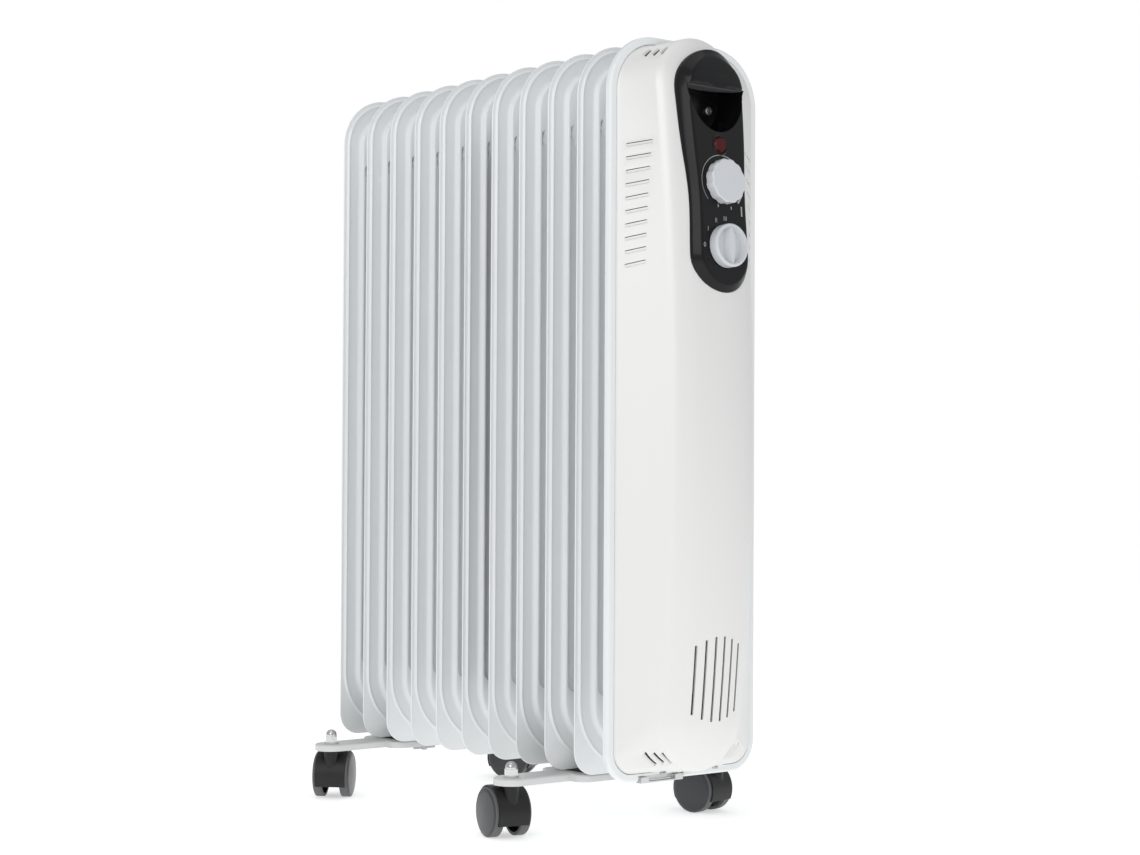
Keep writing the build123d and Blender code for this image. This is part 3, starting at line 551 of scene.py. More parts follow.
# ---------------------------------------------------------------- fins
@dataclass
class Fins:
    """The pressed fins, each of two sheets that meet round the rim."""

    count: int = 10
    rim: Outline = Outline(77.3, 50.7, 639.2, 20.0, 45.5)
    bead: Outline = Outline(73.0, 56.5, 634.9, 51.5, 41.2)
    land: Outline = Outline(61.5, 68.5, 622.5, 39.5, 28.5)
    recess: Outline = Outline(58.0, 113.0, 578.0, 9.0, 4.0)
    land_depth: float = 6.0
    floor_depth: float = 1.2
    skirt_radius: float = 62.0
    headers: tuple[float, float] = (600.0, 90.75)
    header_radius: float = 20.0
    # inset from the recess and depth, down its sloping wall
    recess_wall: tuple = ((0.0, 5.9), (0.5, 5.4), (1.0, 3.7), (1.5, 2.0), (2.2, 1.3), (2.8, 1.2))
    recess_foot: float = 4.5
    # distance from the fin's middle and growth over the header
    flare: tuple = ((5.5, 8.0), (6.05, 6.5), (6.6, 3.6), (8.2, 1.5), (11.5, 0.4))

    def profile(self) -> list[tuple[Outline, float]]:
        """Gives the rings from the rim's middle to the edge of the recess, with their depths."""
        rim, bead, land = self.rim.drawn_in, self.bead.drawn_in, self.land.drawn_in
        return [
            (rim(0.0), 0.0),
            (rim(0.0), 0.4),
            (rim(0.25), 0.68),
            (rim(1.0), 0.72),
            (bead(-1.9), 0.75),
            (bead(-1.3), 1.05),
            (bead(-0.6), 2.15),
            (bead(0.0), 2.5),
            (bead(0.6), 2.35),
            (bead(1.3), 1.95),
            (bead(3.0), 1.7),
            (bead(6.0), 1.65),
            (bead(8.8), 1.8),
            (land(-1.6), 1.95),
            (land(-0.8), 2.3),
            (land(0.0), 3.2),
            (land(0.9), 4.9),
            (land(1.5), 5.7),
            (land(2.2), 6.0),
            (self.recess.drawn_in(-0.6), 6.0),
        ]

    def build(self) -> None:
        """Builds every fin."""
        for number in range(1, self.count + 1):
            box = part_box(f"fin_{number:02d}")
            middle_y = (box[0][1] + box[1][1]) / 2 / MM
            self.one(number, middle_y)

    def one(self, number: int, middle_y: float) -> None:
        """Builds one fin.

        Args:
            number: The fin's number, 1 at the back.
            middle_y: The place of its middle.
        """
        halves = []
        for way in (1, -1):
            skin = Skin(middle_y, corner_steps=12, side_cuts=3, end_cuts=13)
            for outline, depth in self.profile():
                skin.ring(outline, lambda across, height, d=depth: way * d)
            for inset, depth in self.recess_wall:
                drop = (self.land_depth - depth) / (self.land_depth - self.floor_depth)
                outline = self.recess.drawn_in(inset)
                skin.ring(
                    outline, lambda across, height, d=depth: way * d, self.skirt(outline.high, drop, 0)
                )
            outline = self.recess.drawn_in(self.recess_foot)
            skin.ring(outline, lambda across, height: way * self.floor_depth, self.skirt(outline.high, 1, 2))
            skin.close()
            half = skin.mesh
            half.normal_update()
            bmesh.ops.reverse_faces(half, faces=[f for f in half.faces if way * f.normal.y > 0])
            halves.append(half)
            if way > 0 or number > 1:
                for height in self.headers:
                    collar = self.collar(middle_y, height, way)
                    face_out(collar)
                    halves.append(collar)
        fin = merged(halves)
        name = f"fin_{number:02d}"
        finish_piece(fin, f"pressed_{name}", FIN_ENAMEL, Body.RADIATOR.value, (name,))

    def skirt(self, top: float, drop: float, inset: float) -> Callable:
        """Gives the bend that brings the recess's top edge down round the header.

        Args:
            top: The height of the ring's straight top edge.
            drop: How far down the skirt the ring lies, from 0 to 1.
            inset: How far outside the skirt's foot it lies.

        Returns:
            A function that moves (across, height).
        """
        reach = self.skirt_radius + inset

        def bend(across: float, height: float) -> tuple[float, float]:
            if height < top - 0.05:
                return across, height
            foot = self.headers[0] - math.sqrt(max(reach**2 - across**2, 0))
            return across, height + drop * min(foot - height, 0)

        return bend

    def collar(self, middle_y: float, height: float, way: int) -> bmesh.types.BMesh:
        """Makes the flare where a header meets the fin.

        Args:
            middle_y: The fin's middle.
            height: The header's height.
            way: 1 for the front, -1 for the back.

        Returns:
            The flare.
        """
        profile = [(far, self.header_radius + growth) for far, growth in self.flare]
        return turned(profile, Vector((0, middle_y, height)), Vector((0, -way, 0)), 40)


# ---------------------------------------------------------------- front cover
@dataclass
class FrontCover:
    """The bowed front cover with its vents, louvres and corner slits."""

    tray_y: float
    bow_middle: float = 327.0
    bow_scale: float = 4350.0
    back: Outline = Outline(72.8, 55.3, 634.6, 19.5, 41.0)
    shoulder: Outline = Outline(43.2, 55.3, 642.2, 43.1, 43.1)
    shoulder_ahead: float = 39.5
    face_ahead: float = 56.0
    face_fall: float = 0.007
    wall: float = 1.4
    # inset from the back's outline and distance ahead, up to the foot of the slanting side
    rear_edge: tuple = ((0.1, 0.6), (0.1, 4.6), (0.3, 5.6), (1.6, 7.2))
    # how far short of the shoulder the slanting side ends, across and ahead
    side_short: tuple[float, float] = (4.0, 9.7)
    # inset from the shoulder and rise over it
    crown: tuple = (
        (-2.4, -2.5), (-0.9, -1.0), (0.0, 0.1), (1.2, 1.6), (3.2, 3.2), (6.0, 5.2), (8.3, 6.6),
        (10.0, 7.6), (13.0, 9.6), (18.2, 12.1), (26.0, 14.4), (34.0, 15.9), (39.0, 16.4), (42.9, 16.5),
    )
    vent_spacing: float = 9.0
    vent_width: float = 2.2
    vent_middle: float = 130.5
    vent_half_lengths: tuple = (33.8, 31.5, 27.5)
    vent_cutter_ahead: float = 48.0
    vent_cutter_depth: float = 40.0
    louvre_count: int = 10
    louvre_low: float = 457.0
    louvre_pitch: float = 10.6
    louvre_length: float = 12.5
    louvre_ahead: float = 16.5
    louvre_slant: float = 17.0
    # each cutter's depth and height, and how far above or below the middle the last two lie
    louvre_recess: tuple[float, float] = (1.3, 3.0)
    louvre_slot: tuple[float, float] = (8.0, 0.6)
    louvre_groove: tuple[float, float] = (2.2, 0.5)
    slot_above: float = 1.2
    groove_below: float = 1.25
    slot_shorter: float = 1.0
    slit_depth: float = 15.0
    slit_width: float = 1.9
    inlet_radius: float = 6.05
    inlet_cutter: float = 9.0
    inlet_ahead: float = 14.0
    inlet_height: float = 56.0
    corner_slits: tuple = (
        ((51.0, 625.4), (44.6, 631.0), 11.0),
        ((45.0, 627.0), (38.0, 633.0), 13.6),
        ((39.0, 628.8), (31.0, 635.5), 16.2),
        ((52.0, 71.7), (38.7, 63.0), 16.5),
        ((46.0, 70.5), (33.6, 62.0), 19.0),
        ((40.3, 69.7), (27.3, 61.2), 21.4),
    )

    def bow(self, height: float) -> float:
        """Gives how far the bowed front falls back at this height."""
        return (height - self.bow_middle) ** 2 / self.bow_scale

    def face(self, across: float, height: float) -> float:
        """Gives the front face's distance ahead of the tray."""
        return self.face_ahead - self.bow(height) - self.face_fall * across**2

    def shell(self, panel_hole: bmesh.types.BMesh) -> bmesh.types.BMesh:
        """Makes the closed, cut shell.

        Args:
            panel_hole: The shape of the control panel's opening.

        Returns:
            The shell.
        """
        skin = Skin(self.tray_y, corner_steps=18, side_cuts=40, end_cuts=3)
        for inset, ahead in self.rear_edge:
            skin.ring(self.back.drawn_in(inset), lambda across, height, a=ahead: a)
        for inset, rise in self.crown:
            outline = self.shoulder.drawn_in(inset)
            outline = replace(
                outline,
                low=max(outline.low, self.shoulder.low),
                high=min(outline.high, self.shoulder.high),
            )
            squeeze = (lambda across, height: (0.0, height)) if inset > 42 else None
            skin.ring(
                outline,
                lambda across, height, r=rise: self.shoulder_ahead - self.bow(height) + r,
                squeeze,
            )
        shell = skin.mesh
        bmesh.ops.remove_doubles(shell, verts=shell.verts, dist=0.01)
        bmesh.ops.recalc_face_normals(shell, faces=shell.faces)
        if sum(f.normal.y * f.calc_area() for f in shell.faces) > 0:
            bmesh.ops.reverse_faces(shell, faces=shell.faces)
        bmesh.ops.solidify(shell, geom=shell.faces, thickness=self.wall)
        bmesh.ops.recalc_face_normals(shell, faces=shell.faces)
        inlet = bmesh.new()
        bmesh.ops.create_cone(
            inlet, cap_ends=True, segments=32, radius1=self.inlet_radius, radius2=self.inlet_radius,
            depth=self.inlet_cutter,
            matrix=Matrix.Translation((0, self.tray_y - self.inlet_ahead, self.inlet_height)),
        )
        cutters = [panel_hole, *self.vents(), *self.louvre_slots(), *self.slits(), inlet]
        return cut(shell, merged(cutters))

    def vents(self) -> list[bmesh.types.BMesh]:
        """Makes the cutters of the upright vents."""
        cutters = []
        for rank, half in enumerate(self.vent_half_lengths):
            for way in (-1, 1):
                across = way * (rank + 0.5) * self.vent_spacing
                cutters.append(
                    self.bar(
                        Vector((across, self.tray_y - self.vent_cutter_ahead, self.vent_middle)),
                        Vector((self.vent_width, self.vent_cutter_depth, 2 * half)),
                        Matrix.Identity(3),
                    )
                )
        return cutters

    def louvre_slots(self) -> list[bmesh.types.BMesh]:
        """Makes the cutters of the side louvres.

        Each louvre is a shallow recess with a slot above its middle and a groove below it.

        Returns:
            The cutters.
        """
        cutters = []
        rise = math.tan(math.radians(self.louvre_slant))
        foot_inset, foot_ahead = self.rear_edge[-1]
        short_across, short_ahead = self.side_short
        for step in range(self.louvre_count):
            height = self.louvre_low + step * self.louvre_pitch
            reach = self.shoulder_ahead - short_ahead - self.bow(height)
            run = self.back.half - self.shoulder.half - short_across
            across = self.back.half - foot_inset - (self.louvre_ahead - foot_ahead) * run / reach
            length = self.louvre_length * math.hypot(1, run / reach)
            for way in (-1, 1):
                along = Vector((-way * run, -reach, reach * rise)).normalized()
                out = Vector((way * reach, -run, 0)).normalized()
                up = along.cross(out) * way
                turn = Matrix((along * way, out, up)).transposed()
                spot = Vector((way * across, self.tray_y - self.louvre_ahead, height))
                recess = Vector((length, *self.louvre_recess))
                slot = Vector((length - self.slot_shorter, *self.louvre_slot))
                groove = Vector((length - self.slot_shorter, *self.louvre_groove))
                cutters.append(self.bar(spot, recess, turn))
                cutters.append(self.bar(spot + up * self.slot_above, slot, turn))
                cutters.append(self.bar(spot - up * self.groove_below, groove, turn))
        return cutters

    def slits(self) -> list[bmesh.types.BMesh]:
        """Makes the cutters of the corner slits."""
        cutters = []
        for start, end, ahead in self.corner_slits:
            slope = math.atan2(end[1] - start[1], start[0] - end[0])
            middle = ((start[0] + end[0]) / 2, (start[1] + end[1]) / 2)
            length = math.hypot(start[0] - end[0], start[1] - end[1])
            for way in (-1, 1):
                cutters.append(
                    self.bar(
                        Vector((way * middle[0], self.tray_y - ahead, middle[1])),
                        Vector((length, self.slit_width, self.slit_depth)),
                        Matrix.Rotation(way * slope, 3, "Y"),
                    )
                )
        return cutters

    def bar(self, centre: Vector, size: Vector, turn: Matrix) -> bmesh.types.BMesh:
        """Makes a bar with its upright edges rounded a little.

        Args:
            centre: Its middle.
            size: Its size.
            turn: Its rotation.

        Returns:
            The bar.
        """
        mesh = bmesh.new()
        bmesh.ops.create_cube(mesh, size=1)
        bmesh.ops.scale(mesh, vec=size, verts=mesh.verts)
        along_y = [e for e in mesh.edges if abs(e.verts[0].co.y - e.verts[1].co.y) > size.y / 2]
        bmesh.ops.bevel(
            mesh, geom=along_y, offset=0.45 * min(size.x, size.z), offset_type="OFFSET", segments=3,
            profile=0.5, affect="EDGES", clamp_overlap=True, material=-1,
        )
        bmesh.ops.rotate(mesh, cent=(0, 0, 0), matrix=turn, verts=mesh.verts)
        bmesh.ops.translate(mesh, vec=centre, verts=mesh.verts)
        return mesh

    def build(self, panel_hole: bmesh.types.BMesh) -> None:
        """Builds the cover.

        Args:
            panel_hole: The shape of the control panel's opening.
        """
        finish_piece(
            self.shell(panel_hole), "bowed_cover", COVER_ENAMEL, Body.RADIATOR.value,
            ("front_cover",), Shading.CREASED,
        )


# ---------------------------------------------------------------- control panel
@dataclass
class ControlPanel:
    """The black panel with its hand grip, dials' marks and lamp."""

    cover: FrontCover
    outline: Outline = Outline(35.0, 435.3, 630.6, 29.6, 34.9, 29.7)
    flat_ahead: float = 58.2
    waist_depth: float = 2.6
    waist_height: float = 510.0
    grip_half: float = 29.5
    grip_high: float = 600.0
    grip_low: float = 563.5
    grip_depth: float = 28.0
    grip_clear: float = 12.0
    ceiling_depth: float = 17.0
    ceiling_ahead: float = 57.6
    ceiling_steps: int = 24
    lamp_height: float = 553.0
    upper_dial: float = 523.0
    lower_dial: float = 472.0
    print_lift: float = 0.06
    arc_radius: float = 21.8
    arc_degrees: tuple[float, float] = (222.0, -45.0)
    arc_steps: int = 72
    # across, up, half width and half height of each tick under the upper dial
    ticks: tuple = ((-6.0, -19.0, 0.45, 1.3), (8.0, -20.0, 0.45, 1.3), (19.0, -22.0, 0.7, 4.0))
    figure_radius: float = 22.0
    figure_size: float = 5.2

    def waisted(self, across: float, height: float) -> tuple[float, float]:
        """Narrows the outline between its round ends."""
        pull = self.waist_depth * math.exp(-(((height - self.waist_height) / 36.0) ** 2))
        return across * (1 - pull / 32.0), height

    def front(self, across: float, height: float) -> float:
        """Gives the panel's flat front, with the visor over the hand grip."""
        visor = 3.6 * smoothstep((height - 597.0) / 5.0) * smoothstep((633.0 - height) / 26.0)
        visor *= 1 - (min(abs(across), 33.0) / 34.0) ** 4
        return self.flat_ahead - self.cover.bow(height) + visor

    def prism(self, inset: float) -> bmesh.types.BMesh:
        """Makes the closed prism of the outline, for cutting the cover.

        Args:
            inset: How far inside the panel's outline it lies.

        Returns:
            The prism.
        """
        skin = Skin(self.cover.tray_y, corner_steps=14, side_cuts=12, end_cuts=1)
        for ahead in (80.0, 8.0):
            skin.ring(self.outline.drawn_in(inset), lambda across, height, a=ahead: a, self.waisted)
            skin.close()
        face_out(skin.mesh)
        return skin.mesh

    def fascia(self) -> bmesh.types.BMesh:
        """Makes the panel's face with its bevelled border, cut by the hand grip."""
        skin = Skin(self.cover.tray_y, corner_steps=14, side_cuts=26, end_cuts=2)
        steps = (
            (3.0, -0.9), (0.0, -0.5), (0.0, 0.05), (0.35, 0.16), (1.0, 0.26), (3.0, 0.56), (4.8, 0.82),
            (5.8, 0.95), (6.8, 1.0), (8.5, 1.0), (14.0, 1.0), (22.0, 1.0),
        )
        for inset, lift in steps:
            outline = self.outline.drawn_in(inset)

            def ahead(across: float, height: float, t: float = lift) -> float:
                low = self.cover.face(across, height) + 0.2
                if t < 0:
                    return low + 4 * t
                return low + t * (self.front(across, height) - low)

            skin.ring(outline, ahead, self.waisted)
        skin.ring(
            self.outline.drawn_in(29.0),
            self.front,
            lambda across, height: (0.0, height),
        )
        mesh = skin.mesh
        bmesh.ops.remove_doubles(mesh, verts=mesh.verts, dist=0.01)
        bmesh.ops.recalc_face_normals(mesh, faces=mesh.faces)
        if sum(f.normal.y * f.calc_area() for f in mesh.faces) > 0:
            bmesh.ops.reverse_faces(mesh, faces=mesh.faces)
        bmesh.ops.solidify(mesh, geom=mesh.faces, thickness=2.0)
        bmesh.ops.recalc_face_normals(mesh, faces=mesh.faces)
        return cut(mesh, self.grip_prism(0.0))

    def grip_prism(self, grow: float) -> bmesh.types.BMesh:
        """Makes the closed prism of the hand grip, level on top and half round below.

        Args:
            grow: How much larger than the opening it is.

        Returns:
            The prism.
        """
        front = self.flat_ahead - self.cover.bow(self.grip_high) + self.grip_clear
        back = self.flat_ahead - self.cover.bow(self.grip_high) - self.grip_depth
        mesh = bmesh.new()
        bmesh.ops.create_cone(
            mesh, cap_ends=True, segments=64, radius1=1, radius2=1, depth=front - back,
            matrix=Matrix.Rotation(math.radians(90), 4, "X"),
        )
        bmesh.ops.scale(
            mesh, vec=(self.grip_half + grow, 1, self.grip_high - self.grip_low + grow), verts=mesh.verts
        )
        middle_y = self.cover.tray_y - (front + back) / 2
        bmesh.ops.translate(mesh, vec=(0, middle_y, self.grip_high), verts=mesh.verts)
        flat = bmesh.ops.bisect_plane(
            mesh, geom=list(mesh.verts) + list(mesh.edges) + list(mesh.faces),
            plane_co=(0, 0, self.grip_high + grow), plane_no=(0, 0, 1), clear_outer=True,
        )
        rim = [e for e in flat["geom_cut"] if isinstance(e, bmesh.types.BMEdge)]
        bmesh.ops.edgeloop_fill(mesh, edges=rim)
        face_out(mesh)
        return mesh

    def bowl(self) -> bmesh.types.BMesh:
        """Makes the hand grip's walls, rounded where they meet the back."""
        mesh = self.grip_prism(0.05)
        front = min(v.co.y for v in mesh.verts)
        cap = [f for f in mesh.faces if all(abs(v.co.y - front) < 0.01 for v in f.verts)]
        bmesh.ops.delete(mesh, geom=cap, context="FACES")
        back = max(v.co.y for v in mesh.verts)
        foot = [e for e in mesh.edges if all(abs(v.co.y - back) < 0.01 for v in e.verts)]
        bmesh.ops.bevel(
            mesh, geom=foot, offset=5.0, offset_type="OFFSET", segments=4, profile=0.5, affect="EDGES",
            clamp_overlap=True, material=-1,
        )
        for vert in mesh.verts:
            if vert.co.y < front + 1:
                ahead = self.front(vert.co.x, vert.co.z) if vert.co.z < self.grip_high - 0.5 else 43.0
                vert.co.y = self.cover.tray_y - ahead + 0.8
        bmesh.ops.reverse_faces(mesh, faces=mesh.faces)
        return mesh

    def ceiling(self) -> bmesh.types.BMesh:
        """Makes the grip's ceiling, seen from below under the visor, grey as painted light from the floor."""
        front = self.ceiling_ahead - self.cover.bow(self.grip_high)
        points = self.ceiling_steps + 1
        mesh = bmesh.new()
        rings = []
        for height in (self.grip_high - 0.5, self.grip_high - 0.1):
            ring = []
            for step in range(points):
                turn = math.pi * step / self.ceiling_steps
                across = (self.grip_half - 0.8) * math.cos(turn)
                back = front - self.ceiling_depth * math.sin(turn)
                ring.append(mesh.verts.new((across, self.cover.tray_y - back, height)))
            rings.append(ring)
        low, high = rings
        mesh.faces.new(low)
        mesh.faces.new(high)
        for step in range(points):
            after = (step + 1) % points
            mesh.faces.new((low[step], low[after], high[after], high[step]))
        bmesh.ops.recalc_face_normals(mesh, faces=mesh.faces)
        return mesh

    def square_frame(self, height: float, lift: float) -> Matrix:
        """Gives the frame of a dial: x across, y up the panel, z out of it.

        Args:
            height: The dial's height.
            lift: How far in front of the panel its origin lies.

        Returns:
            The frame as a 4 by 4 matrix.
        """
        lean = 2 * (height - self.cover.bow_middle) / self.cover.bow_scale
        out = Vector((0, -1, lean)).normalized()
        across = Vector((1, 0, 0))
        up = out.cross(across)
        spot = Vector((0, self.cover.tray_y - (self.flat_ahead - self.cover.bow(height)), height)) + out * lift
        axes = Matrix((across, up, out)).transposed().to_4x4()
        return Matrix.Translation(spot) @ axes

    def build(self) -> None:
        """Builds the panel's pieces."""
        finish_piece(
            self.fascia(), "panel_fascia", PANEL_BLACK, Body.RADIATOR.value,
            ("control_panel",), Shading.CREASED,
        )
        finish_piece(
            self.bowl(), "grip_bowl", PANEL_BLACK, Body.RADIATOR.value,
            shading=Shading.CREASED,
        )
        # the ceiling's grey is painted light from the floor below
        finish_piece(self.ceiling(), "grip_ceiling_painted_light", CEILING_PAINTED_LIGHT, Body.RADIATOR.value)
        dress(LENS_RED, "indicator_lens")
        dress(INNER_CREAM, "indicator_lamp")
        dress(ZINC_PLATE, "panel_screws")
        lamp = self.square_frame(self.lamp_height, 0)
        ring = turned(
            ((-0.5, 6.55), (0.25, 6.6), (0.6, 7.0), (0.6, 7.9), (0.1, 8.6), (-0.5, 8.7)),
            lamp.translation,
            lamp.to_3x3() @ Vector((0, 0, 1)),
            48,
        )
        finish_piece(ring, "lamp_ring", PANEL_BLACK, Body.RADIATOR.value)
        self.marks()

    def marks(self) -> None:
        """Prints the arc and ticks round the upper dial and the figures round the lower one."""
        strip = bmesh.new()
        start, end = (math.radians(a) for a in self.arc_degrees)
        rim = []
        for step in range(self.arc_steps + 1):
            share = step / self.arc_steps
            angle = start + (end - start) * share
            width = 0.35 + 1.5 * share**2
            for radius in (self.arc_radius - width / 2, self.arc_radius + width / 2):
                rim.append(strip.verts.new((radius * math.cos(angle), radius * math.sin(angle), 0)))
        for step in range(self.arc_steps):
            first = 2 * step
            strip.faces.new((rim[first], rim[first + 2], rim[first + 3], rim[first + 1]))
        for across, up, half_x, half_y in self.ticks:
            bmesh.ops.create_grid(
                strip, x_segments=1, y_segments=1, size=1,
                matrix=Matrix.Translation((across, up, 0)) @ Matrix.Diagonal((half_x, half_y, 1, 1)),
            )
        place = self.square_frame(self.upper_dial, self.print_lift)
        bmesh.ops.transform(strip, matrix=place, verts=strip.verts)
        bmesh.ops.recalc_face_normals(strip, faces=strip.faces)
        if sum(f.normal.y for f in strip.faces) > 0:
            bmesh.ops.reverse_faces(strip, faces=strip.faces)
        finish_piece(strip, "dial_marks", MARK_GREY, Body.RADIATOR.value)
        for figure, turn in (("0", 180.0), ("I", 144.0), ("II", 114.0), ("III", 88.0)):
            self.figure(figure, turn)

    def figure(self, text: str, turn: float) -> None:
        """Prints one figure beside the lower dial.

        Args:
            text: The figure.
            turn: Its place round the dial, in degrees from the right.
        """
        curve = bpy.data.curves.new("figure", "FONT")
        curve.body = text
        curve.size = self.figure_size
        curve.align_x = "CENTER"
        curve.align_y = "CENTER"
        holder = bpy.data.objects.new("figure", curve)
        bpy.context.scene.collection.objects.link(holder)
        bpy.context.view_layer.update()
        mesh = bmesh.new()
        flat = bpy.data.meshes.new_from_object(holder.evaluated_get(bpy.context.evaluated_depsgraph_get()))
        mesh.from_mesh(flat)
        bpy.data.objects.remove(holder)
        bpy.data.curves.remove(curve)
        angle = math.radians(turn)
        radius = self.figure_radius
        beside = Matrix.Translation((radius * math.cos(angle), radius * math.sin(angle), 0))
        place = self.square_frame(self.lower_dial, self.print_lift) @ beside
        bmesh.ops.transform(mesh, matrix=place, verts=mesh.verts)
        name = {"0": "figure_off", "I": "figure_one", "II": "figure_two", "III": "figure_three"}[text]
        finish_piece(mesh, name, MARK_GREY, Body.RADIATOR.value)


# ---------------------------------------------------------------- dials
@dataclass
class Dials:
    """The two dials and the controls behind them."""

    def build(self) -> None:
        """Dresses both dials."""
        dress(KNOB_SILVER, "thermostat_knob", "power_knob")
        dress(ZINC_PLATE, "thermostat_spindle", "selector_spindle")
        dress(INNER_CREAM, "thermostat", "selector_switch")


# ---------------------------------------------------------------- castors
@dataclass
class Castors:
    """The four twin wheel castors on their brackets."""

    names: tuple = ("front_left", "front_right", "rear_left", "rear_right")
    wheel_radius: float = 20.0
    pivot_to_middle: float = 14.0
    wheel_steps: int = 56
    hub_steps: int = 32

    def build(self) -> None:
        """Dresses the castors and builds their wheels."""
        for name in self.names:
            dress(CASTOR_BLACK, f"{name}_castor_hood")
            dress(ZINC_PLATE, f"{name}_castor_axle")
            for side in ("left", "right"):
                self.wheel(f"{name}_wheel_{side}")
        dress(BRACKET_ENAMEL, "front_bracket", "rear_bracket")
        dress(PAD_BLACK, "front_bracket_pad", "rear_bracket_pad")
        dress(BRIGHT_PLATE, "acorn_nuts", "castor_washers")
        dress(ZINC_PLATE, "castor_stems", "wing_nuts", "front_u_bolt", "rear_u_bolt")

    def wheel(self, node: str) -> None:
        """Builds one wheel as a tread and a domed disc.

        Args:
            node: The CAD node that it stands for.
        """
        joint = next(j for j in frame["joints"] if j["child"] == node)
        along = Vector(joint["axis"]).normalized()
        pivot = Vector(joint["pos_m"]) / MM
        way = 1 if node.endswith("left") else -1
        middle = pivot - along * self.pivot_to_middle * way
        out = along * way
        radius = self.wheel_radius
        tread = (
            (8.0, 17.2), (8.0, radius - 0.5), (8.5, radius), (14.9, radius), (15.5, radius - 0.3),
            (15.7, 18.6), (13.6, 17.2),
        )
        disc = (
            (13.8, 5.6), (13.8, 17.4), (15.5, 18.7), (15.9, 18.9), (16.2, 18.4), (16.5, 15.5),
            (17.0, 11.0), (17.35, 6.0), (17.5, 2.5), (17.55, 0.0),
        )
        hub = ((7.0, 2.6), (7.0, 5.4), (13.9, 5.6))
        finish_piece(
            turned(tread, middle, out, self.wheel_steps), f"{node}_tread", TREAD_GREY, node,
            (node,),
        )
        finish_piece(
            turned(disc, middle, out, self.wheel_steps), f"{node}_disc", DISC_BLACK, node
        )
        finish_piece(
            turned(hub, middle, out, self.hub_steps), f"{node}_hub", DISC_BLACK, node
        )


# ---------------------------------------------------------------- casing and inner pieces
@dataclass
class Casing:
    """The tray, headers and everything that keeps its CAD shape."""

    def build(self) -> None:
        """Dresses the carried over nodes."""
        dress(FIN_ENAMEL, "front_tray", "upper_header", "lower_header", "filler_plug")
        dress(ZINC_PLATE, "heating_element", "element_flange", "cover_screws")
        dress(INNER_CREAM, "terminal_block", "thermal_cutout")
        dress(SLEEVE_WEAVE, "wiring_loom")
        dress(CASTOR_BLACK, "cord_bush")
        dress(CLIP_STEEL, "cover_clip")


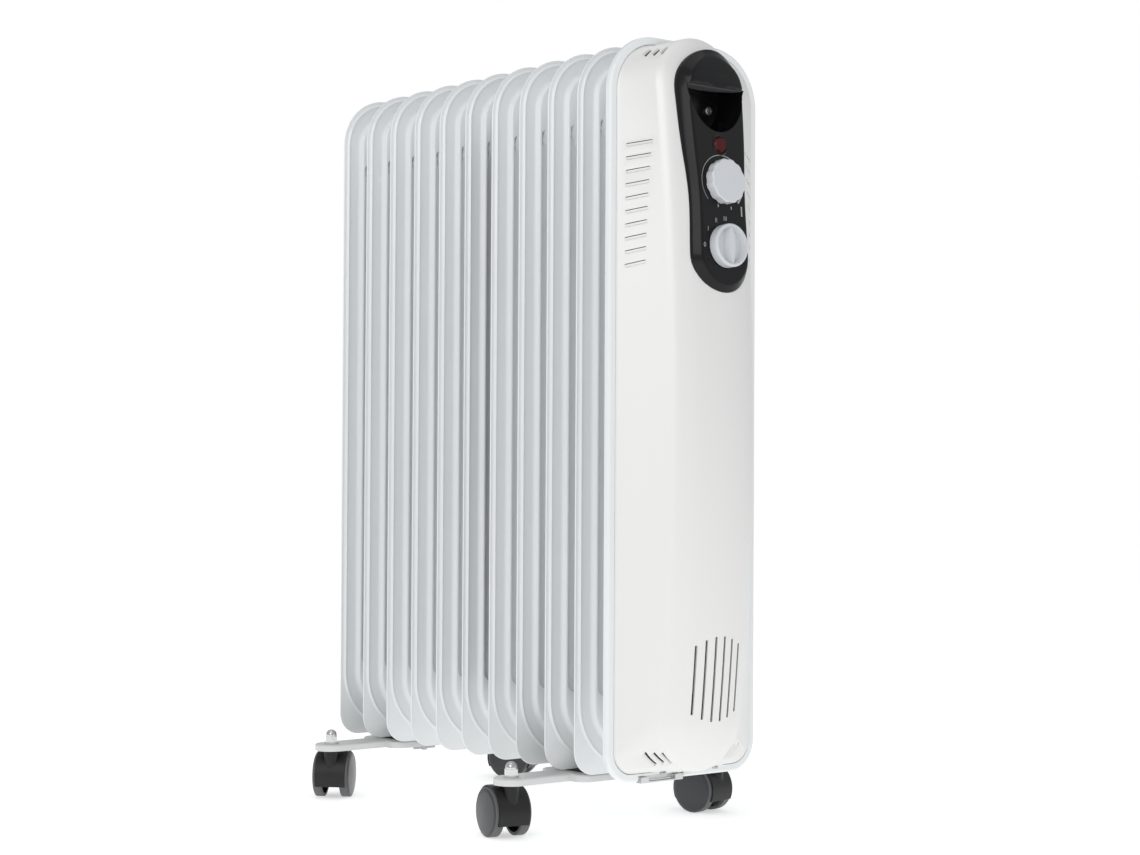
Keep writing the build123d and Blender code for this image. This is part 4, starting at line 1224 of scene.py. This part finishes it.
# ---------------------------------------------------------------- studio
@dataclass
class Studio:
    """The pale floor, the soft lights and the camera."""

    tray_y: float
    floor_size: float = 12.0
    turn: float = 38.84
    tilt: float = 1.188
    roll: float = 0.296
    spot: tuple = (-1160.8, -1300.4, 293.1)
    lens: float = 68.1

    def floor(self) -> None:
        """Lays the pale floor."""
        mesh = bmesh.new()
        bmesh.ops.create_grid(mesh, x_segments=1, y_segments=1, size=self.floor_size / 2)
        data = bpy.data.meshes.new("floor")
        mesh.to_mesh(data)
        mesh.free()
        material = bpy.data.materials.new("pale_floor")
        material.use_nodes = True
        shader = material.node_tree.nodes["Principled BSDF"]
        shader.inputs["Base Color"].default_value = (0.90, 0.90, 0.90, 1)
        shader.inputs["Roughness"].default_value = 0.9
        shader.inputs["Specular IOR Level"].default_value = 0.0
        shader.inputs["Emission Color"].default_value = (1, 1, 1, 1)
        shader.inputs["Emission Strength"].default_value = 0.52
        data.materials.append(material)
        floor = bpy.data.objects.new("floor", data)
        bpy.context.scene.collection.objects.link(floor)

    def light(self, name: str, place: tuple, size: tuple, power: float, aim: tuple = (0, 0, 0.33)) -> None:
        """Hangs one soft box.

        Args:
            name: Its name.
            place: Where it hangs.
            size: Its width and height.
            power: Its power.
            aim: The point that it faces.
        """
        data = bpy.data.lights.new(name, "AREA")
        data.shape = "RECTANGLE"
        data.size, data.size_y = size
        data.energy = power
        lamp = bpy.data.objects.new(name, data)
        lamp.location = place
        lamp.rotation_mode = "QUATERNION"
        lamp.rotation_quaternion = (Vector(aim) - Vector(place)).to_track_quat("-Z", "Y")
        bpy.context.scene.collection.objects.link(lamp)

    def camera(self) -> None:
        """Sets the camera."""
        turn, tilt, roll = (math.radians(a) for a in (self.turn, self.tilt, self.roll))
        forward = Vector((math.sin(turn) * math.cos(tilt), math.cos(turn) * math.cos(tilt), math.sin(tilt)))
        right = Vector((math.cos(turn), -math.sin(turn), 0))
        up = right.cross(forward)
        right, up = (
            right * math.cos(roll) + up * math.sin(roll),
            up * math.cos(roll) - right * math.sin(roll),
        )
        data = bpy.data.cameras.new("camera")
        data.lens = self.lens
        data.sensor_width = 36.0
        camera = bpy.data.objects.new("camera", data)
        across, along, height = self.spot
        spot = Vector((across, along + self.tray_y, height)) * MM
        camera.matrix_world = Matrix.Translation(spot) @ Matrix((right, up, -forward)).transposed().to_4x4()
        bpy.context.scene.collection.objects.link(camera)
        bpy.context.scene.camera = camera

    def build(self) -> None:
        """Sets up the whole studio."""
        self.camera()
        self.floor()
        self.light("key_box", (-1.9, -1.3, 1.5), (1.4, 1.6), 11.0)
        self.light("fill_box", (1.6, -2.2, 1.1), (1.2, 1.6), 0.5)
        self.light("top_box", (0.0, 0.0, 2.6), (2.2, 2.2), 6.0)
        world = bpy.data.worlds.new("studio")
        world.use_nodes = True
        nodes, links = world.node_tree.nodes, world.node_tree.links
        sky = nodes["Background"]
        sky.inputs["Color"].default_value = (0.97, 0.985, 1.0, 1)
        sky.inputs["Strength"].default_value = 0.56
        backdrop = nodes.new("ShaderNodeBackground")
        backdrop.inputs["Color"].default_value = (1, 1, 1, 1)
        ray = nodes.new("ShaderNodeLightPath")
        choose = nodes.new("ShaderNodeMixShader")
        links.new(ray.outputs["Is Camera Ray"], choose.inputs[0])
        links.new(sky.outputs[0], choose.inputs[1])
        links.new(backdrop.outputs[0], choose.inputs[2])
        links.new(choose.outputs[0], nodes["World Output"].inputs["Surface"])
        bpy.context.scene.world = world
        bpy.context.scene.view_settings.view_transform = "Standard"


def main() -> None:
    """Builds the heater and the studio round it."""
    logging.basicConfig(level=logging.INFO, format="%(name)s: %(message)s")
    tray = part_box("front_tray")
    tray_y = tray[1][1] / MM - TRAY_SHEET
    Studio(tray_y).build()
    cover = FrontCover(tray_y)
    panel = ControlPanel(cover)
    Casing().build()
    Fins().build()
    cover.build(panel.prism(3.0))
    panel.build()
    Dials().build()
    Castors().build()


if __name__ == "__main__":
    main()
